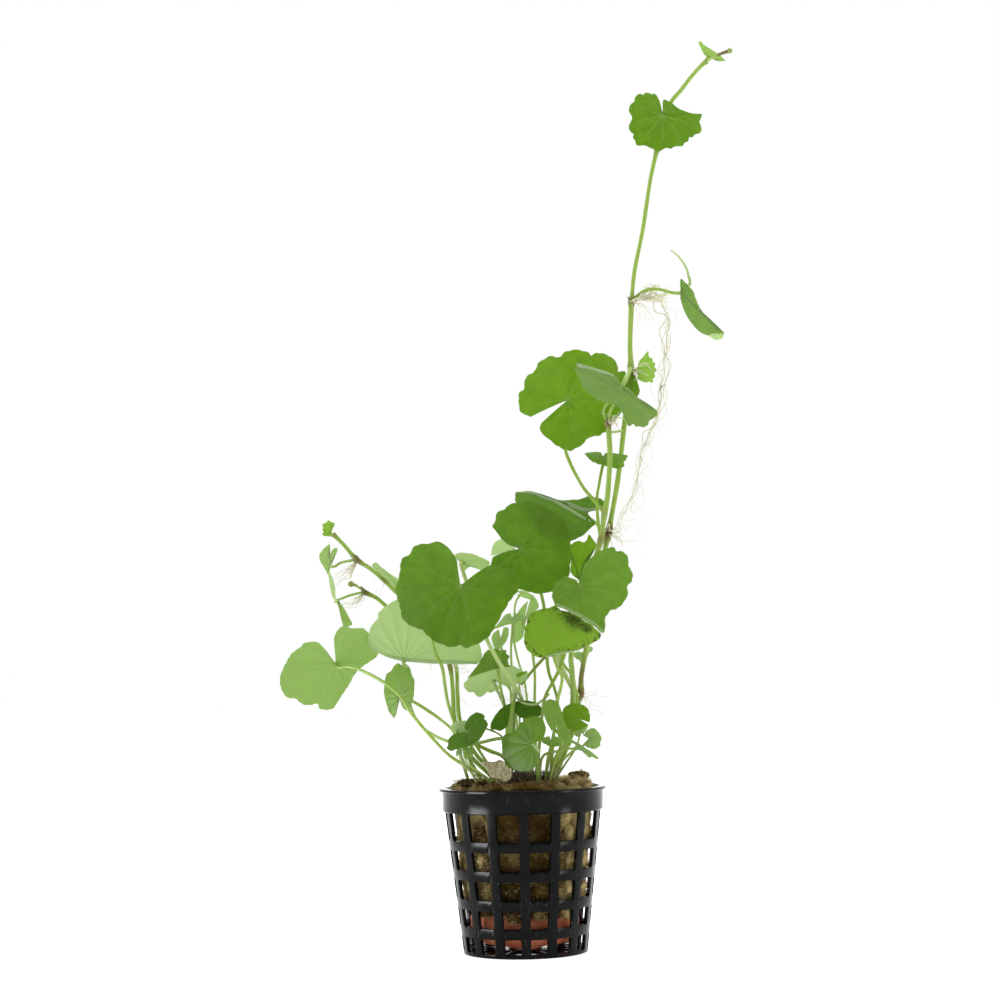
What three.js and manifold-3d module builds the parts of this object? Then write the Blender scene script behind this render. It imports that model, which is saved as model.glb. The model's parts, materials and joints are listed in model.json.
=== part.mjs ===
// Brazilian pennywort: a young plant rooted in rockwool, in a small plastic net pot.
// Millimetres, +Z up. The origin is the centre of the pot's underside.
// The plant is looked at from -Y, with +X to the right.

import * as THREE from 'three';
import { mergeVertices } from 'three/addons/utils/BufferGeometryUtils.js';
import Module from 'manifold-3d';

// Net pot: a five centimetre aquatic pot, open between its ribs and rings
const pot = {
  height: 49.5,
  flangeRadius: 25.5,
  flangeThick: 1.0,
  bandRadius: 24.6,
  bandHeight: 7.0,
  bodyTopRadius: 23.8,
  baseRadius: 18.8,
  wall: 1.1,
  baseThick: 1.0,
  ribs: 15,
  ribWidth: 2.9,
  ringHeight: 3.0,
  windowHeights: [4.6, 5.3, 5.7, 5.6, 8.2],
  baseSlotInner: 7.4,
  baseSlotOuter: 16.4,
  spokeWidth: 1.5,
  rimFacets: 30,
  rimLap: 0.2,
  bodyLap: 1.0,
  windowCut: 12,
  baseCut: 4,
};

// Rockwool plug and the piece of fired clay under it
const wool = { low: 12.6, top: 51.6, lowRadius: 17.6, topRadius: 21.2, edge: 1.6, facets: 18 };
const clay = { low: 1.4, top: 12.0, radius: 16.6, bevel: 1.2, facets: 15 };

// Touching pieces keep this much clear of each other
const gap = 0.3;

// Plant thicknesses
const bladeThick = 0.5;
const stalkRadius = 0.55;
const runnerRadius = 0.8;
const stalkSides = 4;
const runnerSides = 6;
const stalkStep = 10;
const runnerStep = 8;

// How far a stalk runs straight out of the blade, and how far one does that has no seen points
const stalkLead = 2.2;
const shortLead = 0.8;

// Blades: rings across the large ones, waves round a wavy one, passes that settle a point on a cupped one
const largeBlade = 9;
const wavesRound = 5;
const cupPasses = 4;

// Curves: the distance between the points of a cut stretch, and the samples that find where it is cut
const stretchStep = 3;
const clearSamples = 200;

// The eye that the seen points below were taken from, at its real distance from the pot
const eye = { right: -5, distance: 650, height: 86, tiltDeg: 4.5, rollDeg: 1.2, focal: 2117, middle: 500 };

const colours = {
  potBlack: 0x2d2f32,
  wool: 0x8f7347,
  clay: 0xaa553c,
  leafGreen: 0x5f9a32,
  leafPale: 0xa9c98a,
  stem: 0x96b955,
  root: 0xd9cfae,
  dead: 0xb9a27a,
};

const wasm = await Module();
wasm.setup();

const radians = THREE.MathUtils.degToRad;

// The line of sight through a seen point, across and down
function sightOf(across, down) {
  const roll = radians(eye.rollDeg);
  const tilt = radians(eye.tiltDeg);
  const u = (across - eye.middle) / eye.focal;
  const v = (eye.middle - down) / eye.focal;
  const right = Math.cos(roll) * u + Math.sin(roll) * v;
  const up = Math.cos(roll) * v - Math.sin(roll) * u;
  const ray = new THREE.Vector3(
    right,
    Math.cos(tilt) - up * Math.sin(tilt),
    Math.sin(tilt) + up * Math.cos(tilt),
  );
  return { from: new THREE.Vector3(eye.right, -eye.distance, eye.height), ray };
}

// A seen point with its depth behind the pot's axis, as a place in the plant
function seen([across, down, depth]) {
  const { from, ray } = sightOf(across, down);
  return from.addScaledVector(ray, (depth + eye.distance) / ray.y);
}

// A closed geometry as a solid that can be joined and cut
function solidOf(geometry) {
  const bare = geometry.clone();
  bare.deleteAttribute('normal');
  bare.deleteAttribute('uv');
  const welded = mergeVertices(bare, 1e-4);
  const corners = [];
  for (let i = 0; i < welded.index.count; i += 3) {
    const face = [0, 1, 2].map((k) => welded.index.getX(i + k));
    if (new Set(face).size === 3) corners.push(...face);
  }
  return new wasm.Manifold(new wasm.Mesh({
    numProp: 3,
    vertProperties: welded.attributes.position.array,
    triVerts: new Uint32Array(corners),
  }));
}

function geometryOf(solid) {
  const mesh = solid.getMesh();
  const geometry = new THREE.BufferGeometry();
  geometry.setAttribute('position', new THREE.Float32BufferAttribute(mesh.vertProperties, 3));
  geometry.setIndex(new THREE.Uint32BufferAttribute(mesh.triVerts, 1));
  geometry.computeVertexNormals();
  return geometry;
}

// A profile of [radius, height] pairs turned about the Z axis
function turned(profile, facets) {
  const points = profile.map(([r, z]) => new THREE.Vector2(r, z));
  const geometry = new THREE.LatheGeometry(points, facets);
  geometry.rotateX(Math.PI / 2);
  return geometry;
}

// A flat outline pushed out along its normal
function pushed(outline, length) {
  const shape = new THREE.Shape(outline.map(([x, y]) => new THREE.Vector2(x, y)));
  return new THREE.ExtrudeGeometry(shape, { depth: length, bevelEnabled: false });
}

// A round stalk along a curve
function tube(curve, radius, sides, step) {
  const section = new THREE.Shape();
  for (let i = 0; i < sides; i += 1) {
    const turn = (i / sides) * Math.PI * 2;
    const x = radius * Math.cos(turn);
    const y = radius * Math.sin(turn);
    if (i === 0) section.moveTo(x, y);
    else section.lineTo(x, y);
  }
  section.closePath();
  const steps = Math.max(2, Math.round(curve.getLength() / step));
  return new THREE.ExtrudeGeometry(section, { steps, bevelEnabled: false, extrudePath: curve });
}

function curveThrough(points) {
  return new THREE.CatmullRomCurve3(points, false, 'centripetal');
}

// The part of a curve between two shares of its length
function stretch(curve, from, to) {
  const pieces = Math.max(3, Math.round(curve.getLength() / stretchStep));
  const points = [];
  for (let i = 0; i <= pieces; i += 1) points.push(curve.getPointAt(from + ((to - from) * i) / pieces));
  return curveThrough(points);
}

// The curve cut short where it comes within a distance of another one
function clearOf(curve, other, distance) {
  const marks = other.getSpacedPoints(clearSamples);
  let end = clearSamples;
  while (end > 1) {
    const point = curve.getPointAt(end / clearSamples);
    if (Math.min(...marks.map((mark) => mark.distanceTo(point))) >= distance) break;
    end -= 1;
  }
  return stretch(curve, 0, end / clearSamples);
}

// A spot on the rockwool where a stalk goes in
function onWool([x, y]) {
  return new THREE.Vector3(x, y, wool.top + gap);
}

// Net pot

function windowBottom(row) {
  const below = pot.windowHeights.slice(0, row);
  return pot.baseThick + below.reduce((sum, height) => sum + height + pot.ringHeight, 0);
}

function bodyRadius(height) {
  const share = height / (pot.height - pot.bandHeight);
  return pot.baseRadius + (pot.bodyTopRadius - pot.baseRadius) * share;
}

function potSolid() {
  const bandLow = pot.height - pot.bandHeight;
  const flangeLow = pot.height - pot.flangeThick;
  const bodyTop = bandLow + pot.bodyLap;
  let solid = solidOf(turned([
    [0, 0],
    [pot.baseRadius, 0],
    [bodyRadius(bodyTop), bodyTop],
    [bodyRadius(bodyTop) - pot.wall, bodyTop],
    [pot.baseRadius - pot.wall, pot.baseThick],
    [0, pot.baseThick],
  ], pot.ribs));
  const pitch = (2 * Math.PI) / pot.ribs;
  for (let rib = 0; rib < pot.ribs; rib += 1) {
    const turn = (rib + 0.5) * pitch;
    pot.windowHeights.forEach((height, row) => {
      solid = solid.subtract(solidOf(windowCutter(windowBottom(row), height, turn)));
    });
    solid = solid.subtract(solidOf(baseSlotCutter(turn)));
  }
  const innerRadius = (pot.bodyTopRadius - pot.wall) * Math.cos(Math.PI / pot.ribs) - pot.rimLap;
  const rim = turned([
    [innerRadius, bandLow],
    [pot.bandRadius, bandLow],
    [pot.bandRadius, flangeLow],
    [pot.flangeRadius, flangeLow],
    [pot.flangeRadius, pot.height],
    [pot.bandRadius - pot.wall, pot.height],
    [innerRadius, bandLow],
  ], pot.rimFacets);
  return solid.add(solidOf(rim));
}

// Half the width of an opening between two ribs at a radius
function halfOpening(radius, rib) {
  return radius * Math.tan(Math.PI / pot.ribs) - rib / 2;
}

function windowCutter(low, height, turn) {
  const lowHalf = halfOpening(bodyRadius(low), pot.ribWidth);
  const highHalf = halfOpening(bodyRadius(low + height), pot.ribWidth);
  const high = low + height;
  const outline = [[-lowHalf, low], [lowHalf, low], [highHalf, high], [-highHalf, high]];
  const geometry = pushed(outline, pot.windowCut);
  geometry.rotateX(Math.PI / 2);
  geometry.translate(0, -bodyRadius(low) + pot.windowCut / 2, 0);
  geometry.rotateZ(turn);
  return geometry;
}

function baseSlotCutter(turn) {
  const innerHalf = halfOpening(pot.baseSlotInner, pot.spokeWidth);
  const outerHalf = halfOpening(pot.baseSlotOuter, pot.spokeWidth);
  const near = pot.baseSlotInner;
  const far = pot.baseSlotOuter;
  const outline = [[-outerHalf, -far], [outerHalf, -far], [innerHalf, -near], [-innerHalf, -near]];
  const geometry = pushed(outline, pot.baseCut);
  geometry.translate(0, 0, (pot.baseThick - pot.baseCut) / 2);
  geometry.rotateZ(turn);
  return geometry;
}

function woolGeometry() {
  return turned([
    [0, wool.low],
    [wool.lowRadius, wool.low],
    [wool.topRadius, wool.top - wool.edge],
    [wool.topRadius - wool.edge, wool.top],
    [0, wool.top],
  ], wool.facets);
}

function clayGeometry() {
  return turned([
    [0, clay.low],
    [clay.radius - clay.bevel, clay.low],
    [clay.radius, clay.low + clay.bevel],
    [clay.radius, clay.top - clay.bevel],
    [clay.radius - clay.bevel, clay.top],
    [0, clay.top],
  ], clay.facets);
}

// Runners: the creeping stems that the leaves grow from. Their points are seen points with a depth.

const runners = {
  runner_lower: {
    root: [9.5, 5],
    via: [
      [570, 735, 6], [577, 704, 5], [580.6, 693.6, 5], [581.2, 678, 5], [584.4, 658.5, 4],
      [592, 620, 4], [600, 580, 4], [605.6, 547, 3], [608.5, 532.5, 3],
    ],
  },
  runner_middle: {
    via: [
      [608.5, 532.5, 3], [612.3, 512, 3], [618.4, 475.7, 4], [623.8, 429.5, 5], [630.6, 368, 6],
      [630, 345, 7], [631.5, 301, 8],
    ],
  },
  runner_upper: {
    radius: 0.65,
    via: [
      [631.5, 301, 8], [634.4, 272, 8], [642.7, 230, 7], [650.5, 179, 5], [656.6, 151, 4],
      [663, 122, 5], [671.4, 101.6, 4.5], [681.6, 89.4, 3], [691.8, 76, 1], [702, 65, 0], [707, 61, 0],
    ],
  },
  runner_front: {
    root: [8.5, 0],
    via: [
      [566, 735, 0], [572.5, 704, -2], [572, 671, -3], [571, 657, -3], [578, 620, -3], [588, 585, -7],
      [595, 560, -9.5], [600.8, 539.5, -10], [604.6, 513, -10], [607.5, 497, -10], [609.1, 475.7, -10],
      [610, 455.7, -10], [609.1, 436.5, -10], [608, 422, -10],
    ],
  },
  runner_left: {
    radius: 0.65,
    root: [-9, -2],
    via: [
      [470, 755, -3], [455, 721, -3], [452.8, 690, 0], [449.6, 665, 3], [438, 640, 6],
      [418, 612, 9], [394.7, 591, 9], [385, 581, 9], [371, 569, 8], [356.8, 559.6, 8],
      [344, 545, 7], [333, 534, 6],
    ],
  },
  runner_left_lower: {
    radius: 0.65,
    root: [-6, 1],
    via: [
      [478, 757, 0], [460, 721, 1], [457.5, 693, 3], [455.5, 665, 6], [444, 648, 9],
      [418, 630, 13], [386, 606, 13], [376.5, 598, 13], [364, 592, 12],
    ],
  },
};

function runnerCurve(name) {
  const { root, via } = runners[name];
  const points = via.map(seen);
  if (root) points.unshift(onWool(root));
  return curveThrough(points);
}

const runnerCurves = Object.fromEntries(Object.keys(runners).map((name) => [name, runnerCurve(name)]));

// Two stretches of one runner meet with a gap between their ends
function runnerGeometry(name) {
  const curve = runnerCurves[name];
  const ends = gap / curve.getLength();
  return tube(stretch(curve, ends, 1 - ends), runners[name].radius ?? runnerRadius, runnerSides, runnerStep);
}

// Leaves. at: the joint of blade and stalk as seen, with its depth. radius: of the blade.
// faces: the way its upper side looks, turned right of the viewer and raised, in degrees.
// notch: the way its cleft opens, as seen. rim: seen points from one lip of the cleft to the other.
// cup and wave: how far the rim rises, in radii. folds: where the blade turns over.
// stalk: seen points on the way to its foot, on the rockwool (root) or on a runner (joins).

const leaves = {
  leaf_top: {
    at: [662.4, 116, -5], radius: 10.9, faces: [8, 15], notch: 97, cup: -0.06,
    rim: [[660.5, 106], [657, 96], [645, 93], [636, 96], [629.3, 107], [632, 118], [629, 125], [631, 132],
      [636, 144.5], [647, 146.5], [658.5, 152], [667, 148], [678, 146.5], [685, 142.5], [689, 137.5],
      [701.5, 129.5], [702, 114.3], [691, 113.2], [680, 109.3], [672, 102.5], [663.7, 99.5]],
    stalk: [[660, 130, -1]],
    joins: [[656.6, 151, 4], 'runner_upper'],
  },
  leaf_tip_young: {
    at: [708, 57.5, -1], radius: 4.6, faces: [20, 15], notch: 225, cup: 0.15,
    rim: [[704, 54.3], [699, 44.5], [700.8, 41.5], [707, 46.7], [714.5, 51.5], [720.3, 52.7], [726, 60.8],
      [720.2, 61.4]],
    stalk: [],
    joins: [[707, 61, 0], 'runner_upper'],
  },
  leaf_hanging: {
    at: [680.6, 293, 4], radius: 10, faces: [30, -8], notch: 180,
    rim: [[680.3, 286], [680.8, 278.7], [688.5, 285.5], [695.5, 297], [703, 313], [715, 323.5],
      [724.3, 333.2], [707.5, 335.5], [696, 328.5], [687.5, 317], [681.5, 303]],
    stalk: [[671, 292.5, 6], [657, 289, 7], [645, 290.6, 8]],
    joins: [[631.5, 301, 8], 'runner_middle'],
  },
  leaf_upper_large: {
    at: [567.6, 400, -5], radius: 15.4, faces: [-6, 12], notch: 216, cup: -0.05, wave: 0.04,
    rim: [[530.6, 416.5], [520.4, 411.6], [519, 393.8], [525.5, 377.2], [538.3, 361.9], [560, 357.4],
      [575.3, 350.2], [596, 352], [617.3, 363.2], [624, 380], [624, 396], [622, 410], [612, 424.4],
      [600.8, 435.9], [580, 446], [561.2, 448], [540.2, 430.8]],
    stalk: [[566, 430, -1], [565, 448, -1], [571, 465, -2], [576.6, 476, -4], [584, 488.5, -6],
      [592, 498, -8]],
    joins: [[604.6, 513, -10], 'runner_front'],
  },
  leaf_upper_front: {
    at: [620.3, 388.7, -16], radius: 14.2, faces: [35, 40], notch: 56, cup: -0.12,
    rim: [[625, 387], [635, 396], [646, 404.5], [655, 412.5], [649, 421.5], [643, 427.3], [630, 426.3],
      [624, 415.5], [614, 405], [598, 400], [585, 390], [580, 378], [575, 367.5], [577.5, 363.5],
      [597, 369.5], [614, 375.5], [620, 382]],
    stalk: [[623.5, 383, -12], [627.5, 375.5, -5]],
    joins: [[630.6, 368, 6], 'runner_middle'],
  },
  leaf_upper_back: {
    at: [629, 386, 3], radius: 5.6, faces: [15, 20], notch: 90,
    rim: [[632, 373], [638, 384], [638, 396], [628, 402], [619, 400], [614, 393], [616, 376], [619, 371.5]],
    stalk: [[631, 380, 6.5]],
    joins: [[630.6, 368, 6], 'runner_middle'],
  },
  leaf_young_fan: {
    at: [637, 370, 4], radius: 5, faces: [20, 25], notch: 190, cup: 0.1,
    rim: [[639, 361], [648.7, 350.8], [650, 357.8], [655.5, 363.3], [656.8, 370.5], [652.8, 382.8],
      [641.5, 381], [637.5, 379]],
    stalk: [],
    joins: [[630.6, 368, 6], 'runner_middle'],
  },
  leaf_edge_on: {
    at: [603, 457, -1.8], radius: 6.6, faces: [0, 58], notch: 80, cup: -0.1,
    rim: [[606, 453], [621, 454.5], [627.3, 455.3], [624, 462], [619, 468.7], [606, 466.5], [593, 462],
      [588.5, 458.5], [585, 453], [600, 452]],
    stalk: [[600.5, 476, -3], [599, 485, -4], [597, 497, -5], [598, 520, -7]],
    joins: [[600.8, 539.5, -10], 'runner_front'],
  },
  leaf_middle_left: {
    at: [520.8, 549, -12], radius: 15.2, faces: [-10, 14], notch: 168, cup: -0.08,
    rim: [[514, 546.5], [499, 535.5], [492, 525.7], [498, 511.5], [512, 503.5], [530, 500.5], [548, 508.5],
      [566, 522], [570.5, 541], [572, 557], [567, 580], [554, 591], [540, 594], [524, 590.5], [504, 581],
      [491, 566.5], [492.5, 558], [507, 552]],
    stalk: [[536, 578, -6], [544, 607, -2], [546, 640, -1], [548.7, 672, -3], [554, 687, -5],
      [557.6, 703, -4]],
    root: [7, -4],
  },
  leaf_middle_back: {
    at: [586, 513, -4.5], radius: 13.8, faces: [8, 35], notch: -30, cup: -0.08,
    rim: [[604, 508], [599, 498], [588, 496.2], [572, 499.5], [545, 495], [531, 491.5], [516, 492.4],
      [515.5, 502], [525, 514.5], [537, 532], [551, 541.5], [565, 542.5], [578, 538], [590, 528.5],
      [595, 524.3]],
    stalk: [[592, 520, -1], [600, 527, 2]],
    joins: [[608.5, 532.5, 3], 'runner_middle'],
  },
  leaf_middle_folded: {
    at: [579.5, 579, -5], radius: 6, faces: [-15, 10], notch: 270,
    folds: [{ toward: -8, from: 0.3, by: 18, over: 0.8 }],
    rim: [[576, 578], [570.3, 571.5], [571.8, 557], [568.7, 546.3], [579, 540.7], [589, 534.5],
      [599, 546.5], [592.5, 559], [586.5, 569], [582.5, 575.5]],
    stalk: [[576, 590, -3], [566, 630, -1], [562, 660, -1], [573, 677, -0.5], [575.5, 688.5, 0.5],
      [577, 699, 1.5], [570, 740, 1.5]],
    root: [10.5, 1],
  },
  leaf_middle_right: {
    at: [579.5, 586.5, -22], radius: 16, faces: [4, 18], notch: 97, cup: -0.06,
    rim: [[580.8, 578], [585, 563.5], [598.5, 551.5], [612, 546.5], [621, 551], [628.8, 560], [633, 575.5],
      [628.5, 592], [622, 605], [610, 611], [605, 620], [603, 633.3], [585, 620.7], [565, 609.5],
      [556, 606], [552, 592], [557, 581], [565, 575.8], [573, 578.5]],
    stalk: [[578, 597, -6.5], [573, 622, -5.5], [566, 650, -6], [557.6, 673, -7.5], [550.6, 686, -8],
      [545, 697, -8]],
    root: [4.5, -8],
  },
  leaf_yellowish: {
    at: [558, 610, -11.7], radius: 11.4, faces: [8, 20], notch: 60, cup: -0.08,
    rim: [[556, 604.8], [542, 609.3], [531, 614], [527, 621], [524.5, 630], [524.3, 644], [530, 653],
      [541, 657.5], [560, 654.5], [575, 651.2], [590, 644.5], [600.3, 638], [597, 630], [578, 617],
      [570, 612.5]],
    stalk: [[556, 632, -9], [553, 652, -9.5], [557.6, 668, -10], [562, 677, -10], [561, 687, -10],
      [557.6, 700, -9.5]],
    root: [8.5, -5.5],
  },
  leaf_small_grey: {
    at: [581, 653.5, 9], radius: 3, faces: [20, 30], notch: 90,
    rim: [[586, 649], [590, 646.5], [592, 651], [588, 656.5], [580, 659.8], [571, 655], [579, 651.3]],
    stalk: [[583, 665, 7.5]],
    joins: [[581.2, 678, 5], 'runner_lower'],
  },
  leaf_front_large: {
    at: [460.4, 586, -23], radius: 18.4, faces: [-8, 20], notch: 69, cup: -0.1, wave: 0.03,
    rim: [[457, 561], [444, 544], [430, 543], [414, 546], [402, 560], [395.5, 591], [403, 620], [422, 631],
      [437, 643], [459, 644.6], [474, 646], [494, 630], [512, 598], [519.5, 581], [510, 570], [491, 565],
      [483, 569]],
    stalk: [[446, 612, -18], [432, 634, -15], [435, 652, -14], [442, 667, -13], [445, 686, -12],
      [448, 703, -11], [453, 719, -11], [463, 748, -11]],
    root: [-12.5, -8.5],
  },
  leaf_pale_left: {
    at: [404, 661, -5], radius: 17.2, faces: [175, 22], notch: 270, cup: 0.04,
    rim: [[400, 660.5], [385, 656], [371, 648], [369, 632], [378, 618], [383, 608], [397, 600], [410, 600],
      [440, 605], [460, 615], [475, 630], [480, 645], [482, 655], [480, 662], [450, 664], [425, 663.5]],
    stalk: [[409, 669, -1.5], [410, 682, 3], [410, 705, 7], [418, 722, 4], [430, 733, -2], [447.5, 741, -5.5],
      [476, 743, -7.5], [505.6, 740, -7]],
    root: [-1.5, -5],
  },
  leaf_left_narrow: {
    at: [400, 697.5, -4.5], radius: 8.2, faces: [-30, 4], notch: 270, cup: -0.1,
    rim: [[399.8, 700], [398, 708.5], [394, 718], [389.5, 712.5], [386, 702], [384, 690], [385.5, 678],
      [391, 671], [398.3, 663], [404, 665.5], [410.5, 671], [414.3, 680], [414, 694], [411.5, 704.5],
      [406, 710.2], [401.5, 703]],
    stalk: [[414, 702, 2], [437, 717, 2], [453.6, 732, -1], [460, 755, -5]],
    root: [-16.5, -3],
  },
  leaf_far_left: {
    at: [335.8, 664, -1], radius: 15.4, faces: [192, 30], notch: 107, cup: -0.05, wave: 0.04,
    rim: [[324, 648], [303.5, 643], [292, 654], [280, 675], [281, 688], [288, 698], [302, 705], [317, 704],
      [332, 708], [350, 684], [358, 670], [378, 656], [368, 632], [351, 628], [337, 632], [334, 639]],
    stalk: [[350, 667, -5], [367, 673, -7], [386, 684, -9], [400, 696, -10], [409, 710, -10.5],
      [420, 724, -11], [434, 740, -11.5], [450, 756, -11.5], [465.8, 766, -11.5]],
    root: [-10, -11.5],
  },
  leaf_dark_folded: {
    at: [467.5, 732, -17], radius: 6.6, faces: [-15, 25], notch: 165,
    rim: [[464.8, 729.5], [466.5, 721], [474, 713.5], [483, 714], [488, 724], [485, 731], [479.5, 740],
      [470, 746], [460, 748.7], [452, 751], [446.5, 748], [448, 740.5], [454, 734.3], [463, 733.5]],
    stalk: [[474, 742, -15.5], [484, 758, -15.5]],
    root: [-7, -15.5],
  },
  leaf_pale_small: {
    at: [458, 728, -14], radius: 3, faces: [25, 20], notch: 270,
    rim: [[455, 733], [450, 727.5], [456, 721.5], [466, 720.6], [464.5, 731.5]],
    stalk: [[459, 745, -13.5], [463, 760, -14]],
    root: [-13.8, -13.6],
  },
  seedling_left: {
    at: [458.5, 754, -17], radius: 1.8, faces: [-20, 15], notch: 270,
    rim: [[456.5, 757.5], [455.8, 753], [457.5, 749], [461, 748.3], [462.3, 752.5], [461.5, 757]],
    stalk: [[462, 764, -15]],
    root: [-12, -15.2],
  },
  seedling_right: {
    at: [467.5, 754, -18], radius: 2.1, faces: [20, 20], notch: 270,
    rim: [[465, 760], [463.3, 748.3], [472, 748], [474, 751.5], [469.5, 759.7]],
    stalk: [[466.5, 762, -16.8]],
    root: [-9.8, -16.6],
  },
  leaf_dead: {
    at: [497, 777.5, -19], radius: 4.2, faces: [5, 25], notch: 256, wave: 0.1,
    rim: [[491, 778], [485.5, 768.5], [481.5, 763.3], [491, 761.2], [499, 759.3], [507, 766], [511.8, 776],
      [509, 780.5]],
    stalk: [],
    root: [-7.2, -17.6],
  },
  leaf_low_round: {
    at: [532, 745, -20], radius: 8.6, faces: [-28, 10], notch: -10, cup: -0.06,
    rim: [[543, 738.5], [545, 723], [535, 715.7], [524.5, 719.5], [514.8, 730], [501.8, 741],
      [502.6, 756.5], [507, 765.7], [517.9, 771], [527, 771.2], [536.5, 765], [538.5, 753]],
    stalk: [[537, 760, -16]],
    root: [4.5, -14.5],
  },
  leaf_low_dark: {
    at: [514, 711, -7], radius: 8, faces: [0, 35], notch: 278,
    rim: [[509, 724], [500, 731], [491, 729.5], [493, 719], [501, 708.5], [512, 703], [526, 700.5],
      [540, 706], [540, 716], [526, 718.5], [519, 717.5]],
    stalk: [[514, 740, -4.5], [518, 760, -3.5]],
    root: [-1.5, -1],
  },
  leaf_low_oblique: {
    at: [556, 722, -17.5], radius: 7.2, faces: [35, 26], notch: 262,
    rim: [[552, 731], [544.5, 717], [545, 701.5], [557, 701.5], [563, 716], [569, 731], [570, 746.5],
      [558, 736.5]],
    stalk: [[562, 740, -14.5], [554, 762, -12.5]],
    root: [8.2, -13.2],
  },
  leaf_low_dark_round: {
    at: [579, 719, -10], radius: 4.4, faces: [6, 10], notch: -25,
    rim: [[589.5, 720], [589, 712.5], [585, 706], [575, 703], [566, 706], [562, 718], [570, 730],
      [580, 729.8], [584.5, 726.5]],
    stalk: [[570, 742, -8], [560, 762, -7]],
    root: [6.4, -6.8],
  },
  leaf_low_right_pale: {
    at: [590, 739, -9], radius: 3.6, faces: [26, 22], notch: 185,
    rim: [[583, 735.5], [590, 728.5], [598, 731], [602.3, 738.5], [600.3, 746], [593.5, 749.6],
      [586.5, 747.5], [583.5, 743]],
    stalk: [[583, 746, -8.5], [573, 751, -9], [560, 764, -9]],
    root: [8.8, -8.5],
  },
  leaf_low_right_folded: {
    at: [577, 745, -17], radius: 5, faces: [8, 40], notch: 180,
    rim: [[569.5, 742], [568.5, 737.5], [580, 744], [590.5, 751], [599, 758.5], [589.5, 757.8], [582, 751],
      [572.5, 748.3]],
    stalk: [[571, 748.5, -15.5], [556, 751.5, -14], [543, 756, -12.5]],
    root: [5.2, -12.2],
  },
  leaf_low_yellow: {
    at: [551, 741, -11.5], radius: 3.1, faces: [0, 35], notch: 90,
    rim: [[553, 736.3], [562.3, 741], [556, 746.7], [546, 744.7], [541, 739], [549.5, 736]],
    stalk: [[548, 756, -10.5]],
    root: [6.8, -11.5],
  },
  leaf_low_back_pale: {
    at: [581.5, 731, -3], radius: 2.2, faces: [10, 25], notch: 283,
    rim: [[583, 735], [587, 729], [588.3, 724.4], [580, 728], [575, 731], [578, 737]],
    stalk: [[576, 748, -2.5], [566, 763, -2.5]],
    root: [10.5, -2.5],
  },
  leaf_slim_grey: {
    at: [512, 619, 10], radius: 4.6, faces: [-6, 40], notch: 85,
    rim: [[514, 613.2], [525.8, 616.7], [517, 622.5], [505, 625.3], [494.5, 628.8], [500.5, 620.5],
      [506.5, 614]],
    stalk: [[511, 650, 15], [513, 684, 14.5], [518, 730, 12.5]],
    root: [1, 11],
  },
  leaf_back_high: {
    at: [524, 621, 14], radius: 6, faces: [170, 20], notch: 76,
    rim: [[531, 597], [538, 602.5], [534, 611.5], [527, 619.5], [523.7, 631], [518.5, 641.3],
      [512.5, 643.5], [512.5, 627], [518.5, 611], [528.3, 600.2]],
    stalk: [[530, 640, 13], [534.7, 672, 10], [534.7, 700, 8]],
    root: [4.5, 7],
  },
  leaf_back_upright: {
    at: [521, 593.5, 12], radius: 3.4, faces: [170, 15], notch: 175,
    rim: [[516.5, 591.3], [524, 590.6], [534.5, 596.5], [530, 599.5], [520.5, 596.5], [515.5, 595]],
    stalk: [[515.5, 603, 12.5], [514.5, 612, 12.9], [514, 640, 12.9], [518, 660, 12], [524, 680, 10.5],
      [527, 700, 10]],
    root: [3.5, 13.5],
  },
  leaf_back_small: {
    at: [500.5, 639, 3], radius: 3.4, faces: [18, 12], notch: 87,
    rim: [[503.5, 627.6], [508.7, 634], [504, 644.5], [495, 648.5], [491.5, 637.5], [499, 629.3]],
    stalk: [[508, 665, 10], [511, 700, 13]],
    root: [-3, 12.5],
  },
  leaf_mid_dark: {
    at: [497, 668.5, -12], radius: 7, faces: [-10, 30], notch: 283,
    rim: [[467.5, 678], [475, 668.5], [482.5, 657], [489, 649.3], [506.8, 650.3], [509.8, 656.7],
      [512, 666.5]],
    stalk: [[501, 690, -8], [505, 708, -1]],
    root: [-4, 2.5],
  },
  leaf_mid_pale: {
    at: [494, 681, -2], radius: 9.8, faces: [176, 30], notch: 324, cup: 0.04,
    rim: [[501, 689], [490, 692.7], [484.5, 694.5], [476, 695.5], [469.5, 692.5], [463.5, 684.5],
      [470.5, 676], [484, 669.5], [498, 667.3], [513, 665.5], [523, 671.5], [527.5, 677], [516, 684.5],
      [507.5, 687]],
    stalk: [[498, 692, -3], [506, 714, 3.5]],
    root: [-5, 7],
  },
  leaf_mid_tiny: {
    at: [520, 675.5, -8.5], radius: 1.9, faces: [10, 25], notch: 222,
    rim: [[516.2, 677.5], [520, 672.5], [527.3, 671], [522, 675.3]],
    stalk: [[520, 695, -1], [520, 730, 0]],
    root: [1.5, 1.5],
  },
  leaf_behind_large: {
    at: [462, 563, 0], radius: 4, faces: [172, 15], notch: 180,
    rim: [[458, 560], [453, 556], [461, 552.5], [473, 554], [485, 559], [490, 562.5], [483, 570],
      [472, 566.5], [464, 571], [460, 568]],
    stalk: [[473, 600, -4], [487, 640, -18], [500, 664, -15.5], [509, 677, -12], [517, 690, -8],
      [522, 700, -3], [526, 730, 2]],
    root: [2.5, 4],
  },
  leaf_behind_left: {
    at: [398.5, 586, 14], radius: 5, faces: [160, 20], notch: -6,
    rim: [[399, 579], [385, 570], [375.5, 562.3], [372, 565.5], [382, 576], [392, 587.5], [397.5, 593]],
    stalk: [[420, 620, 17], [460, 650, 14], [497, 669, 13], [507, 684.6, 15], [514, 700, 16]],
    root: [-1, 16.5],
  },
  leaf_shoot_young: {
    at: [330.8, 533.3, 3.8], radius: 2.4, faces: [-10, 20], notch: 0,
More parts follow.
